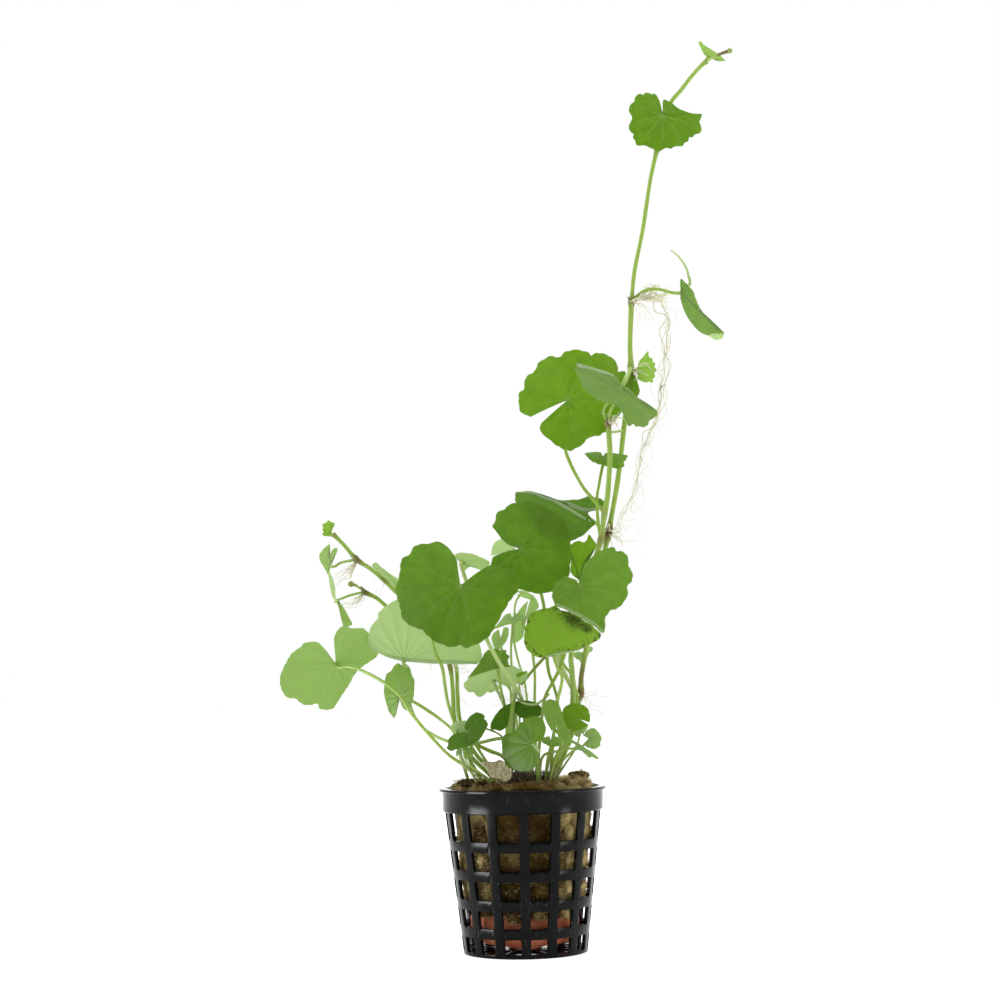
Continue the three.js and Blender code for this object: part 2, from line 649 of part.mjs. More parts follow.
    rim: [[330.5, 530], [334.7, 523.8], [327.8, 520.3], [324, 523.3], [322, 529.7], [322, 534],
      [328, 536.2], [331.5, 537]],
    stalk: [],
    joins: [[333, 534, 6], 'runner_left'],
  },
  leaf_shoot_folded: {
    at: [330.5, 566, 5], radius: 5.2, faces: [-30, 6], notch: -10,
    rim: [[329.3, 573], [322.5, 565], [319.5, 554.5], [329.5, 544], [328.3, 553.5], [337.3, 548.2],
      [334.5, 556.5], [331.3, 563]],
    stalk: [[340, 563, 7]],
    joins: [[356.8, 559.6, 8], 'runner_left'],
  },
  leaf_shoot_slim: {
    at: [338.3, 602, 10], radius: 4, faces: [40, -6], notch: 104,
    rim: [[337, 603], [340.5, 616], [344, 627.5], [352, 624.5], [345, 610], [340, 602.3]],
    stalk: [[343, 598, 11], [351, 595, 12]],
    joins: [[364, 592, 12], 'runner_left_lower'],
  },
};

// A blade's own directions: out of its upper side, along its cleft, and across
function bladeAxes(leaf) {
  const turn = radians(leaf.faces[0]);
  const lift = radians(leaf.faces[1]);
  const out = new THREE.Vector3(
    Math.sin(turn) * Math.cos(lift),
    -Math.cos(turn) * Math.cos(lift),
    Math.sin(lift),
  );
  const along = inPlane(leaf.notch, out);
  return { out, along, across: new THREE.Vector3().crossVectors(out, along) };
}

// A seen direction, in degrees from the right, laid into the plane of a blade
function inPlane(degrees, out) {
  const way = new THREE.Vector3(Math.cos(radians(degrees)), 0, Math.sin(radians(degrees)));
  return way.addScaledVector(out, -way.dot(out)).normalize();
}

// A seen point laid onto a cupped blade: how far along its cleft and across it
function laid(leaf, axes, [across, down]) {
  const { from, ray } = sightOf(across, down);
  const joint = seen(leaf.at);
  const spot = new THREE.Vector2();
  for (let pass = 0; pass < cupPasses; pass += 1) {
    const rise = ((leaf.cup ?? 0) * spot.lengthSq()) / leaf.radius;
    const reach = (joint.clone().sub(from).dot(axes.out) + rise) / ray.dot(axes.out);
    const place = from.clone().addScaledVector(ray, reach).sub(joint);
    spot.set(place.dot(axes.along), place.dot(axes.across));
  }
  return spot;
}

// The rim, always the same way round the joint
function rimSpots(leaf, axes) {
  const spots = leaf.rim.map((spot) => laid(leaf, axes, spot));
  return THREE.ShapeUtils.area(spots) < 0 ? spots.reverse() : spots;
}

// A point of the blade's middle surface, a share of the way to the rim: cupped, waved and folded
function bladePoint(leaf, axes, rimSpot, share) {
  const spot = rimSpot.clone().multiplyScalar(share);
  const waved = (leaf.wave ?? 0) * Math.sin(wavesRound * rimSpot.angle());
  let rise = (((leaf.cup ?? 0) + waved) * spot.lengthSq()) / leaf.radius;
  for (const fold of leaf.folds ?? []) {
    const toward = inPlane(fold.toward, axes.out);
    const way = new THREE.Vector2(toward.dot(axes.along), toward.dot(axes.across));
    const past = spot.dot(way) - fold.from;
    if (past <= 0) continue;
    const whole = Math.abs(radians(fold.by));
    const bent = Math.min(past / fold.over, whole);
    const rest = Math.max(0, past - fold.over * whole);
    const side = Math.sign(fold.by);
    const onward = fold.over * Math.sin(bent) + rest * Math.cos(bent) - side * rise * Math.sin(bent);
    spot.addScaledVector(way, onward - past);
    rise = side * (fold.over * (1 - Math.cos(bent)) + rest * Math.sin(bent)) + rise * Math.cos(bent);
  }
  return seen(leaf.at)
    .addScaledVector(axes.along, spot.x)
    .addScaledVector(axes.across, spot.y)
    .addScaledVector(axes.out, rise);
}

// The blade as a thin closed sheet: spokes from the joint, rings across them, open at the cleft
function bladeGeometry(leaf) {
  const axes = bladeAxes(leaf);
  const rim = rimSpots(leaf, axes);
  const spokes = rim.length - 1;
  const rings = leaf.radius > largeBlade ? 2 : 1;
  const middle = [seen(leaf.at)];
  for (const rimSpot of rim) {
    for (let ring = 1; ring <= rings; ring += 1) middle.push(bladePoint(leaf, axes, rimSpot, ring / rings));
  }
  const at = (spoke, ring) => (ring === 0 ? 0 : 1 + spoke * rings + ring - 1);
  const faces = [];
  for (let i = 0; i < spokes; i += 1) {
    faces.push([0, at(i, 1), at(i + 1, 1)]);
    for (let ring = 1; ring < rings; ring += 1) {
      faces.push([at(i, ring), at(i, ring + 1), at(i + 1, ring + 1)]);
      faces.push([at(i, ring), at(i + 1, ring + 1), at(i + 1, ring)]);
    }
  }
  const edge = [0];
  for (let ring = 1; ring <= rings; ring += 1) edge.push(at(0, ring));
  for (let i = 1; i <= spokes; i += 1) edge.push(at(i, rings));
  for (let ring = rings - 1; ring > 0; ring -= 1) edge.push(at(spokes, ring));
  return thickened(middle, faces, edge, bladeThick);
}

// A sheet given a thickness, half to each side, and closed along its edge
function thickened(middle, faces, edge, thick) {
  const sheet = new THREE.BufferGeometry().setFromPoints(middle);
  sheet.setIndex(faces.flat());
  sheet.computeVertexNormals();
  const count = middle.length;
  const points = [];
  for (const side of [0.5, -0.5]) {
    middle.forEach((point, i) => {
      const normal = new THREE.Vector3().fromBufferAttribute(sheet.attributes.normal, i);
      points.push(point.clone().addScaledVector(normal, side * thick));
    });
  }
  const all = faces.flatMap(([a, b, c]) => [a, b, c, a + count, c + count, b + count]);
  edge.forEach((a, i) => {
    const b = edge[(i + 1) % edge.length];
    all.push(a, a + count, b, b, a + count, b + count);
  });
  const solid = new THREE.BufferGeometry().setFromPoints(points);
  solid.setIndex(all);
  return solid;
}

// The stalk from the underside of the blade to its foot
function stalkCurve(leaf) {
  const { out } = bladeAxes(leaf);
  const start = seen(leaf.at);
  const lead = leaf.stalk.length > 0 ? stalkLead : shortLead;
  const points = [start, start.clone().addScaledVector(out, -lead), ...leaf.stalk.map(seen)];
  points.push(leaf.root ? onWool(leaf.root) : seen(leaf.joins[0]));
  const curve = curveThrough(points);
  if (leaf.root) return curve;
  const stem = leaf.joins[1];
  const clear = (runners[stem].radius ?? runnerRadius) + stalkRadius + gap;
  return clearOf(curve, runnerCurves[stem], clear);
}

function leafGeometry(leaf) {
  const blade = solidOf(bladeGeometry(leaf));
  const stalk = solidOf(tube(stalkCurve(leaf), stalkRadius, stalkSides, stalkStep));
  return geometryOf(blade.add(stalk));
}

// Small buds: a swollen tip on a short stalk

const budStalk = { radius: 0.4, sides: 5, step: 3 };
const budFacets = [8, 5];
const buds = {
  bud_tip: { from: [707, 62, -1.5], to: [730.6, 50.8, -3.6], radius: 1 },
  bud_shoot: { from: [361.5, 589.5, 11.5], to: [350, 584, 9], radius: 1.2 },
};

function budGeometry(bud) {
  const from = seen(bud.from);
  const to = seen(bud.to);
  const curve = curveThrough([from, from.clone().lerp(to, 0.5), to]);
  const stalk = tube(curve, budStalk.radius, budStalk.sides, budStalk.step);
  const head = new THREE.SphereGeometry(bud.radius, ...budFacets);
  head.translate(to.x, to.y, to.z);
  return geometryOf(solidOf(stalk).add(solidOf(head)));
}

// Roots and the wilted strand: thin threads, and the tuft at the upper joint

const threads = {
  roots_hanging: {
    radius: 0.45,
    via: [
      [663, 307, 14], [668, 314, 14], [669, 324, 14], [667, 345, 14], [664, 370, 14], [662, 388, 13],
      [659, 410, 12], [655, 425, 11], [648, 436, 10], [641, 457, 9], [637, 478, 9], [631, 497, 8],
      [625, 512, 8], [618, 525, 7],
    ],
  },
  roots_shoot: { radius: 0.35, via: [[355.5, 565, 8], [350, 579, 7], [339, 586, 6]] },
  roots_shoot_lower: { radius: 0.35, via: [[362, 598, 12], [357, 603, 11], [348, 607, 10]] },
  strand_wilted: {
    radius: 0.4,
    via: [[690, 283.5, 3.9], [688, 273, 4], [685.5, 267, 4], [679, 257, 3.5], [671, 250, 3.5]],
  },
};

const threadSides = 4;
const tuft = { at: [656, 291, 13], across: 5.2, deep: 2.4, high: 3.2, facets: [8, 5] };

function tuftGeometry() {
  const geometry = new THREE.SphereGeometry(1, ...tuft.facets);
  geometry.scale(tuft.across, tuft.deep, tuft.high);
  const centre = seen(tuft.at);
  geometry.translate(centre.x, centre.y, centre.z);
  return geometry;
}

// The dark crown that the stalks rise from, low on the rockwool
const crown = { x: 0.5, y: -10.5, facets: 8, profile: [[3.4, 0], [3.06, 2.3], [1.7, 4.14], [0, 4.6]] };

function crownGeometry() {
  const geometry = turned([[0, 0], ...crown.profile], crown.facets);
  geometry.translate(crown.x, crown.y, wool.top + gap);
  return geometry;
}

// The plant in its pot

const plant = new THREE.Group();

function addPiece(name, geometry, colour, roughness) {
  const material = new THREE.MeshStandardMaterial({ color: colour, roughness, metalness: 0 });
  const mesh = new THREE.Mesh(geometry, material);
  mesh.name = name;
  plant.add(mesh);
}

const paleLeaves = [
  'leaf_pale_left', 'leaf_far_left', 'leaf_mid_pale', 'leaf_behind_large', 'leaf_behind_left',
  'leaf_slim_grey',
];

addPiece('net_pot', geometryOf(potSolid()), colours.potBlack, 0.4);
addPiece('rockwool', woolGeometry(), colours.wool, 0.95);
addPiece('clay_base', clayGeometry(), colours.clay, 0.85);
addPiece('crown', crownGeometry(), colours.stem, 0.8);
for (const name of Object.keys(runners)) addPiece(name, runnerGeometry(name), colours.stem, 0.5);
for (const [name, leaf] of Object.entries(leaves)) {
  const tone = paleLeaves.includes(name) ? colours.leafPale : colours.leafGreen;
  addPiece(name, leafGeometry(leaf), name === 'leaf_dead' ? colours.dead : tone, 0.55);
}
for (const [name, bud] of Object.entries(buds)) addPiece(name, budGeometry(bud), colours.stem, 0.5);
for (const [name, thread] of Object.entries(threads)) {
  const geometry = tube(curveThrough(thread.via.map(seen)), thread.radius, threadSides, stalkStep);
  addPiece(name, geometry, colours.root, 0.7);
}
addPiece('roots_tuft', tuftGeometry(), colours.root, 0.7);

export default plant;
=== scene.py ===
import json
import math
import bmesh
import bpy
import numpy as np
from mathutils import Euler, Matrix, Vector


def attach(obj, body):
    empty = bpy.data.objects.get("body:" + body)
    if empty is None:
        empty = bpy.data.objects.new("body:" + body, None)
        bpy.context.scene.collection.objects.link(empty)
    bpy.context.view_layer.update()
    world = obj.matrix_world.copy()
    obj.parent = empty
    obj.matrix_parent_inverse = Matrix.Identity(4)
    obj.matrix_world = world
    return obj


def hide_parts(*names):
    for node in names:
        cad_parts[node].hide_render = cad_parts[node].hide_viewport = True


# Brazilian pennywort in a net pot: the looks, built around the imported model
# Sizes in the dictionaries are in millimetres. Meshes are made in metres, in the model's own frame.

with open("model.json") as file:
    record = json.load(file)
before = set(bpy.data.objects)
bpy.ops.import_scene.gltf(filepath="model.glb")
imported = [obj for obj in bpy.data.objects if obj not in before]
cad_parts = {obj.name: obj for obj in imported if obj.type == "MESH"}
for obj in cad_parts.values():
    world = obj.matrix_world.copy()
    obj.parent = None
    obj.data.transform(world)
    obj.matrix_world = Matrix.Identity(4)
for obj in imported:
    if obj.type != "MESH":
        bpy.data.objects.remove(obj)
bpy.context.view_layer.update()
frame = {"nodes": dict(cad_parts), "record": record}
mm = 0.001
print("frame loaded:", len(frame["nodes"]), "nodes")

# The eye that every seen point (across, down, depth behind the pot's axis) was taken from
eye = dict(right=-5, distance=650, height=86, tiltDeg=4.5, rollDeg=1.2, focal=2117, middle=500)


def seenRay(across, down):
    roll, tilt = math.radians(eye["rollDeg"]), math.radians(eye["tiltDeg"])
    u = (across - eye["middle"]) / eye["focal"]
    v = (eye["middle"] - down) / eye["focal"]
    right = math.cos(roll) * u + math.sin(roll) * v
    up = math.cos(roll) * v - math.sin(roll) * u
    way = (right, math.cos(tilt) - up * math.sin(tilt), math.sin(tilt) + up * math.cos(tilt))
    return np.array((eye["right"], -eye["distance"], eye["height"]), float), np.array(way)


def seen(spot):
    start, way = seenRay(spot[0], spot[1])
    return start + way * (spot[2] + eye["distance"]) / way[1]


# Several seen points, written "across,down,depth across,down,depth"
def seenAll(text):
    return [seen([float(value) for value in spot.split(",")]) for spot in text.split()]


# A smooth even path through a few points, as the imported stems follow
def smoothPath(points, step):
    points = np.array(points, float)
    wide = np.vstack([2 * points[0] - points[1], points, 2 * points[-1] - points[-2]])
    share = np.linspace(0, 1, 20, endpoint=False)[:, None]
    runs = []
    for p0, p1, p2, p3 in zip(wide[:-3], wide[1:-2], wide[2:-1], wide[3:]):
        d0, d1, d2 = (max(np.linalg.norm(b - a) ** 0.5, 1e-3) for a, b in ((p0, p1), (p1, p2), (p2, p3)))
        t1 = ((p1 - p0) / d0 - (p2 - p0) / (d0 + d1) + (p2 - p1) / d1) * d1
        t2 = ((p2 - p1) / d1 - (p3 - p1) / (d1 + d2) + (p3 - p2) / d2) * d1
        runs.append((2 * share**3 - 3 * share**2 + 1) * p1 + (share**3 - 2 * share**2 + share) * t1
                    + (3 * share**2 - 2 * share**3) * p2 + (share**3 - share**2) * t2)
    fine = np.vstack(runs + [points[-1:]])
    length = np.concatenate([[0], np.cumsum(np.linalg.norm(np.diff(fine, axis=0), axis=1))])
    marks = np.linspace(0, length[-1], max(3, int(round(length[-1] / step)) + 1))
    return np.stack([np.interp(marks, length, fine[:, k]) for k in range(3)], 1)


# Smooth lumpy noise from -1 to 1 at points in millimetres
def lumps(points, size, seed):
    cell = np.asarray(points) / size
    low = np.floor(cell).astype(np.int64)
    part = cell - low
    part = part * part * (3 - 2 * part)
    total = np.zeros(len(cell))
    for corner in range(8):
        step = np.array([corner & 1, corner >> 1 & 1, corner >> 2 & 1])
        spot = low + step
        mixed = spot[:, 0] * 73856093 ^ spot[:, 1] * 19349663 ^ spot[:, 2] * 83492791 ^ (seed * 2654435761)
        mixed = (mixed ^ (mixed >> 13)) * 1274126177 & 0x7FFFFFFF
        mixed = (mixed ^ (mixed >> 15)) * 668265263 & 0x7FFFFFFF
        total += (mixed / 0x7FFFFFFF) * np.prod(np.where(step, part, 1 - part), axis=1)
    return 2 * total - 1


# Shells gather the points, faces and surface data of one piece
def newShell():
    return dict(points=[], faces=[], slots=[], place=[], flat=[], tone=[], mark=[], count=0)


def addToShell(shell, points, faces, slot=0, place=None, flat=None, tone=(0.5, 0.0), mark=(0.0, 0.0)):
    count = len(points)
    shell["points"].append(np.asarray(points, float))
    for group in faces:
        if len(group):
            group = np.asarray(group, int)
            shell["faces"].append(group + shell["count"])
            shell["slots"].append(np.full(len(group), slot))
    for key, value in (("place", place), ("flat", flat), ("tone", tone), ("mark", mark)):
        value = np.zeros(2) if value is None else np.asarray(value, float)
        shell[key].append(np.broadcast_to(value, (count, 2)).copy())
    shell["count"] += count


def makePiece(name, shell, materials, nodes, sharpDeg=60):
    points = np.vstack(shell["points"]) * mm
    loops = np.concatenate([group.ravel() for group in shell["faces"]])
    totals = np.concatenate([np.full(len(group), group.shape[1]) for group in shell["faces"]])
    starts = np.concatenate([[0], np.cumsum(totals)[:-1]])
    mesh = bpy.data.meshes.new(name)
    mesh.vertices.add(len(points))
    mesh.vertices.foreach_set("co", points.ravel())
    mesh.loops.add(len(loops))
    mesh.loops.foreach_set("vertex_index", loops.astype(np.int32))
    mesh.polygons.add(len(totals))
    mesh.polygons.foreach_set("loop_start", starts.astype(np.int32))
    mesh.polygons.foreach_set("material_index", np.concatenate(shell["slots"]).astype(np.int32))
    mesh.polygons.foreach_set("use_smooth", np.ones(len(totals), bool))
    mesh.update(calc_edges=True)
    for key in ("place", "flat", "tone", "mark"):
        layer = mesh.uv_layers.new(name=key)
        layer.data.foreach_set("uv", np.vstack(shell[key])[loops].ravel())
    mesh.validate()
    mesh.set_sharp_from_angle(angle=math.radians(sharpDeg))
    piece = bpy.data.objects.new(name, mesh)
    bpy.context.scene.collection.objects.link(piece)
    for material in materials:
        mesh.materials.append(material)
    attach(piece, "root")
    if nodes:
        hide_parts(*nodes)
    return piece


capShare = 0.3  # how far a rod's end bulges, as a share of its radius


# A round rod along a path: radius may change from point to point, both ends are closed
def addRod(shell, path, radius, sides, slot=0, tone=(0.5, 0.0), mark=(0.0, 0.0)):
    path = np.asarray(path, float)
    count = len(path)
    ways = np.gradient(path, axis=0)
    ways /= np.maximum(np.linalg.norm(ways, axis=1, keepdims=True), 1e-9)
    side = np.cross(ways[0], (0.3, 0.5, 0.81))
    sideways = []
    for way in ways:
        side = side - way * side.dot(way)
        side = side / max(np.linalg.norm(side), 1e-9)
        sideways.append(side)
    sideways = np.array(sideways)
    upways = np.cross(ways, sideways)
    turn = np.arange(sides) * 2 * math.pi / sides
    radius = np.broadcast_to(np.asarray(radius, float), (count,))
    ring = sideways[:, None] * np.cos(turn)[None, :, None] + upways[:, None] * np.sin(turn)[None, :, None]
    points = (path[:, None] + ring * radius[:, None, None]).reshape(-1, 3)
    row = np.arange(count - 1)[:, None] * sides
    a = np.arange(sides)[None, :]
    b = (a + 1) % sides
    walls = np.stack([row + a, row + b, row + b + sides, row + a + sides], -1).reshape(-1, 4)
    tips = path[0] - ways[0] * radius[0] * capShare, path[-1] + ways[-1] * radius[-1] * capShare
    points = np.vstack([points, *tips])
    last = (count - 1) * sides
    caps = [(b0, a0, count * sides) for a0, b0 in zip(a[0], b[0])]
    caps += [(last + a0, last + b0, count * sides + 1) for a0, b0 in zip(a[0], b[0])]
    along = np.concatenate([[0], np.cumsum(np.linalg.norm(np.diff(path, axis=0), axis=1))])
    place = np.stack([np.tile(a[0] / sides, count), np.repeat(along, sides)], 1)
    place = np.vstack([place, (0, 0), (0, along[-1])])
    mark = np.asarray(mark, float)
    if mark.ndim == 2:
        mark = np.vstack([np.repeat(mark, sides, axis=0), mark[:1], mark[-1:]])
    addToShell(shell, points, [walls, caps], slot, place, place, tone, mark)


# Node helpers for the materials
def newMaterial(name):
    material = bpy.data.materials.new(name)
    material.use_nodes = True
    material.node_tree.nodes.clear()
    return material, material.node_tree


def put(tree, kind, settings=None, **inputs):
    node = tree.nodes.new(kind)
    for key, value in (settings or {}).items():
        setattr(node, key, value)
    for key, value in inputs.items():
        socket = node.inputs[int(key[1:])] if key[0] == "i" and key[1:].isdigit() else node.inputs[key]
        fill(tree, socket, value)
    return node


# Links a socket to another, or sets it to a value
def fill(tree, socket, value):
    if isinstance(value, bpy.types.NodeSocket):
        tree.links.new(value, socket)
    elif socket.type == "RGBA" and len(value) == 3:
        socket.default_value = (*value, 1.0)
    else:
        socket.default_value = value


def calc(tree, operation, a, b=0.0, clamp=False):
    return put(tree, "ShaderNodeMath", dict(operation=operation, use_clamp=clamp), i0=a, i1=b).outputs[0]


def times(tree, a, b):
    return calc(tree, "MULTIPLY", a, b)


def plus(tree, a, b, clamp=False):
    return calc(tree, "ADD", a, b, clamp)


# A value round a half, made into a swing to both sides of nothing
def swing(tree, value, amount):
    return times(tree, calc(tree, "SUBTRACT", value, 0.5), amount)


def ramp(tree, value, low, high, outLow=0.0, outHigh=1.0):
    settings = dict(interpolation_type="SMOOTHSTEP")
    inputs = dict(i0=value, i1=low, i2=high, i3=outLow, i4=outHigh)
    return put(tree, "ShaderNodeMapRange", settings, **inputs).outputs[0]


def mixColour(tree, factor, a, b):
    return put(tree, "ShaderNodeMix", dict(data_type="RGBA"), i0=factor, i6=a, i7=b).outputs[2]


def noise(tree, vector, scale, detail=2.0, rough=0.5):
    node = put(tree, "ShaderNodeTexNoise", Vector=vector, Scale=scale, Detail=detail, Roughness=rough)
    return node.outputs[0]


def scaled(tree, vector, *scale):
    return put(tree, "ShaderNodeMapping", Vector=vector, Scale=scale).outputs[0]


def mapOf(tree, name):
    return put(tree, "ShaderNodeUVMap", dict(uv_map=name)).outputs[0]


def splitOf(tree, name):
    return put(tree, "ShaderNodeSeparateXYZ", Vector=mapOf(tree, name)).outputs


def objectPlace(tree):
    return put(tree, "ShaderNodeTexCoord").outputs["Object"]


# relief: height, depth in millimetres and strength.
# through: colour and share of the light that shines through.
def finishMaterial(material, tree, colour, roughness, relief, specular, through=None):
    height, depth, strength = relief
    normal = put(tree, "ShaderNodeBump", Strength=strength, Distance=depth * mm, Height=height).outputs[0]
    skin = put(tree, "ShaderNodeBsdfPrincipled")
    values = {"Base Color": colour, "Roughness": roughness, "Specular IOR Level": specular}
    for name, value in {**values, "Normal": normal}.items():
        fill(tree, skin.inputs[name], value)
    surface = skin.outputs[0]
    if through is not None:
        glow = put(tree, "ShaderNodeBsdfTranslucent", Color=through[0]).outputs[0]
        surface = put(tree, "ShaderNodeMixShader", i0=through[1], i1=surface, i2=glow).outputs[0]
    put(tree, "ShaderNodeOutputMaterial", Surface=surface)
    return material


# Leaf finishes. "tone" is a leaf's hue (0 deep, 1 yellow green) and paleness; the paleness is partly a pale
# underside and partly painted sheen, and the deep hue of leaf_low_dark is partly painted shade. "mark" its
# dark spots, partly brown spots and dark patches and partly painted shade where another leaf lies over it,
# and how clearly its veins show.
# glow: the light that shines through.
leafFinish = dict(
    deep=(0.062, 0.165, 0.006), fresh=(0.21, 0.35, 0.016), pale=(0.46, 0.56, 0.33), vein=(0.42, 0.53, 0.2),
    glowDeep=(0.125, 0.27, 0.006), glowFresh=(0.36, 0.56, 0.04), glowPale=(0.62, 0.75, 0.4),
    glowVein=(0.75, 0.95, 0.3), glowUnderVein=(0.3, 0.6, 0.06), underVein=(0.2, 0.34, 0.09),
    # stain: the colour of dark patches of the leaf, and of painted shade where another leaf lies over the
    # blade
    spot=(0.1, 0.05, 0.015), stainAndShade=(0.055, 0.085, 0.012), glowShare=0.6, lobes=9,
)


# How near a point lies to a main vein or to one of the two arms that it forks into
def veinMask(tree, across, share, width):
    lobeAngle = 2 * math.pi / leafFinish["lobes"]
    apart = calc(tree, "ABSOLUTE", calc(tree, "SUBTRACT", calc(tree, "FRACT", across), 0.5))
    arc = times(tree, times(tree, apart, share), lobeAngle)
    thin = times(tree, calc(tree, "SUBTRACT", 1.25, share), width)
    main = calc(tree, "SUBTRACT", 1.0, ramp(tree, arc, 0.0, thin))
    main = times(tree, main, ramp(tree, share, 0.62, 0.95, 1.0, 0.0))
    main = times(tree, main, ramp(tree, share, 0.2, 0.7, 1.0, 0.45))
    spread = times(tree, calc(tree, "SUBTRACT", share, 0.46), 0.62)
    armApart = calc(tree, "ABSOLUTE", calc(tree, "SUBTRACT", apart, spread))
    armArc = times(tree, times(tree, armApart, share), lobeAngle)
    arm = calc(tree, "SUBTRACT", 1.0, ramp(tree, armArc, 0.0, width * 0.62))
    arm = times(tree, arm, ramp(tree, share, 0.45, 0.52))
    arm = times(tree, arm, ramp(tree, share, 0.82, 0.97, 0.5, 0.0))
    return calc(tree, "MAXIMUM", main, arm)


def makeLeafMaterial(name, under):
    finish = leafFinish
    material, tree = newMaterial(name)
    across, share = splitOf(tree, "place")[:2]
    hue, pale = splitOf(tree, "tone")[:2]
    spots, clear = splitOf(tree, "mark")[:2]
    flat = mapOf(tree, "flat")
    veins = times(tree, veinMask(tree, across, share, 0.021 if under else 0.017), clear)
    patches = noise(tree, flat, 0.28, 3.0, 0.55)
    fine = noise(tree, flat, 2.2, 3.0, 0.6)
    net = put(tree, "ShaderNodeTexVoronoi", dict(feature="DISTANCE_TO_EDGE"), Vector=flat, Scale=0.85)
    netLine = ramp(tree, net.outputs["Distance"], 0.0, 0.09, 1.0, 0.0)
    shade = plus(tree, plus(tree, hue, swing(tree, patches, 0.55)), swing(tree, fine, 0.16), True)
    # Paleness: partly the pale underside, partly painted sheen on rolled margins and folds
    paleness = plus(tree, times(tree, pale, 0.9), 0.3 if under else 0.0, True)
    colour = mixColour(tree, shade, finish["deep"], finish["fresh"])
    colour = mixColour(tree, paleness, colour, finish["pale"])
    colour = mixColour(tree, times(tree, veins, 0.7), colour, finish["underVein" if under else "vein"])
    colour = mixColour(tree, times(tree, netLine, 0.1), colour, finish["vein"])
    glow = mixColour(tree, shade, finish["glowDeep"], finish["glowFresh"])
    glow = mixColour(tree, times(tree, paleness, 0.8), glow, finish["glowPale"])
    glow = mixColour(tree, times(tree, veins, 0.35), glow, finish["glowUnderVein" if under else "glowVein"])
    jointPale = ramp(tree, share, 0.01, 0.05, 0.6, 0.0)
    rimPale = ramp(tree, share, 0.97, 0.99, 0.0, 0.08)
    colour = mixColour(tree, calc(tree, "MAXIMUM", jointPale, rimPale), colour, finish["vein"])
    browned = times(tree, ramp(tree, noise(tree, flat, 0.9, 2.0), 0.56, 0.64), ramp(tree, spots, 0.0, 0.25))
    browned = times(tree, browned, ramp(tree, share, 0.8, 0.97))
    # Dark patches of the leaf together with painted shade where another leaf lies over the blade; darkens
    # both the colour and the light shining through
    raggedStainAndShade = plus(tree, spots, swing(tree, noise(tree, flat, 1.1, 4.0), 1.2))
    for mask, dark in ((browned, "spot"), (ramp(tree, raggedStainAndShade, 0.5, 1.4, 0.0, 0.92), "stainAndShade")):
        colour = mixColour(tree, mask, colour, finish[dark])
        glow = mixColour(tree, mask, glow, finish[dark])
    height = calc(tree, "SUBTRACT", times(tree, veins, 0.8 if under else -0.6), times(tree, netLine, 0.18))
    height = plus(tree, height, times(tree, fine, 0.25))
    roughness = ramp(tree, fine, 0.3, 0.7, 0.5 if under else 0.36, 0.66 if under else 0.52)
    return finishMaterial(material, tree, colour, roughness, (height, 0.16, 0.8), 0.15 if under else 0.2,
                          (glow, finish["glowShare"]))


# Stems and stalks: "mark" is how brown a joint is
def makeStemMaterial():
    material, tree = newMaterial("greenStem")
    hue, pale = splitOf(tree, "tone")[:2]
    along = mapOf(tree, "place")
    streaks = noise(tree, scaled(tree, along, 9.0, 0.09, 1.0), 1.0, 3.0, 0.6)
    patches = noise(tree, scaled(tree, along, 1.0, 0.12, 1.0), 1.0, 2.0)
    shade = plus(tree, hue, swing(tree, patches, 0.5), True)
    colour = mixColour(tree, shade, (0.1, 0.2, 0.012), (0.29, 0.43, 0.045))
    colour = mixColour(tree, ramp(tree, streaks, 0.35, 0.7, 0.0, 0.25), colour, (0.4, 0.52, 0.14))
    colour = mixColour(tree, times(tree, pale, 0.8), colour, (0.58, 0.64, 0.36))
    browned = times(tree, splitOf(tree, "mark")[0], ramp(tree, streaks, 0.25, 0.6, 0.55, 1.0))
    colour = mixColour(tree, browned, colour, (0.13, 0.055, 0.022))
    glow = mixColour(tree, browned, (0.5, 0.66, 0.1), (0.2, 0.08, 0.02))
    return finishMaterial(material, tree, colour, 0.42, (streaks, 0.06, 0.4), 0.3, (glow, 0.35))


def makeRootMaterial():
    material, tree = newMaterial("paleRoot")
    brown = splitOf(tree, "mark")[0]
    dirt = noise(tree, scaled(tree, mapOf(tree, "place"), 3.0, 0.3, 1.0), 1.0, 3.0)
    colour = mixColour(tree, dirt, (0.36, 0.34, 0.18), (0.7, 0.69, 0.5))
    colour = mixColour(tree, times(tree, splitOf(tree, "tone")[1], 0.8), colour, (0.84, 0.83, 0.7))
    colour = mixColour(tree, brown, colour, (0.09, 0.06, 0.045))
    glow = mixColour(tree, brown, (0.8, 0.79, 0.62), (0.12, 0.07, 0.04))
    return finishMaterial(material, tree, colour, 0.5, (dirt, 0.05, 0.5), 0.5, (glow, 0.4))


def makeDeadLeafMaterial():
    material, tree = newMaterial("driedLeaf")
    across, share = splitOf(tree, "place")[:2]
    flat = mapOf(tree, "flat")
    patches = noise(tree, flat, 0.9, 4.0, 0.65)
    specks = ramp(tree, noise(tree, flat, 4.5, 2.0), 0.6, 0.68)
    veins = veinMask(tree, across, share, 0.03)
    colour = mixColour(tree, ramp(tree, patches, 0.35, 0.65), (0.19, 0.17, 0.07), (0.42, 0.4, 0.27))
    colour = mixColour(tree, times(tree, veins, 0.5), colour, (0.25, 0.16, 0.07))
    colour = mixColour(tree, times(tree, specks, 0.7), colour, (0.12, 0.06, 0.025))
    return finishMaterial(material, tree, colour, 0.8, (patches, 0.3, 0.8), 0.2, ((0.5, 0.4, 0.2), 0.25))


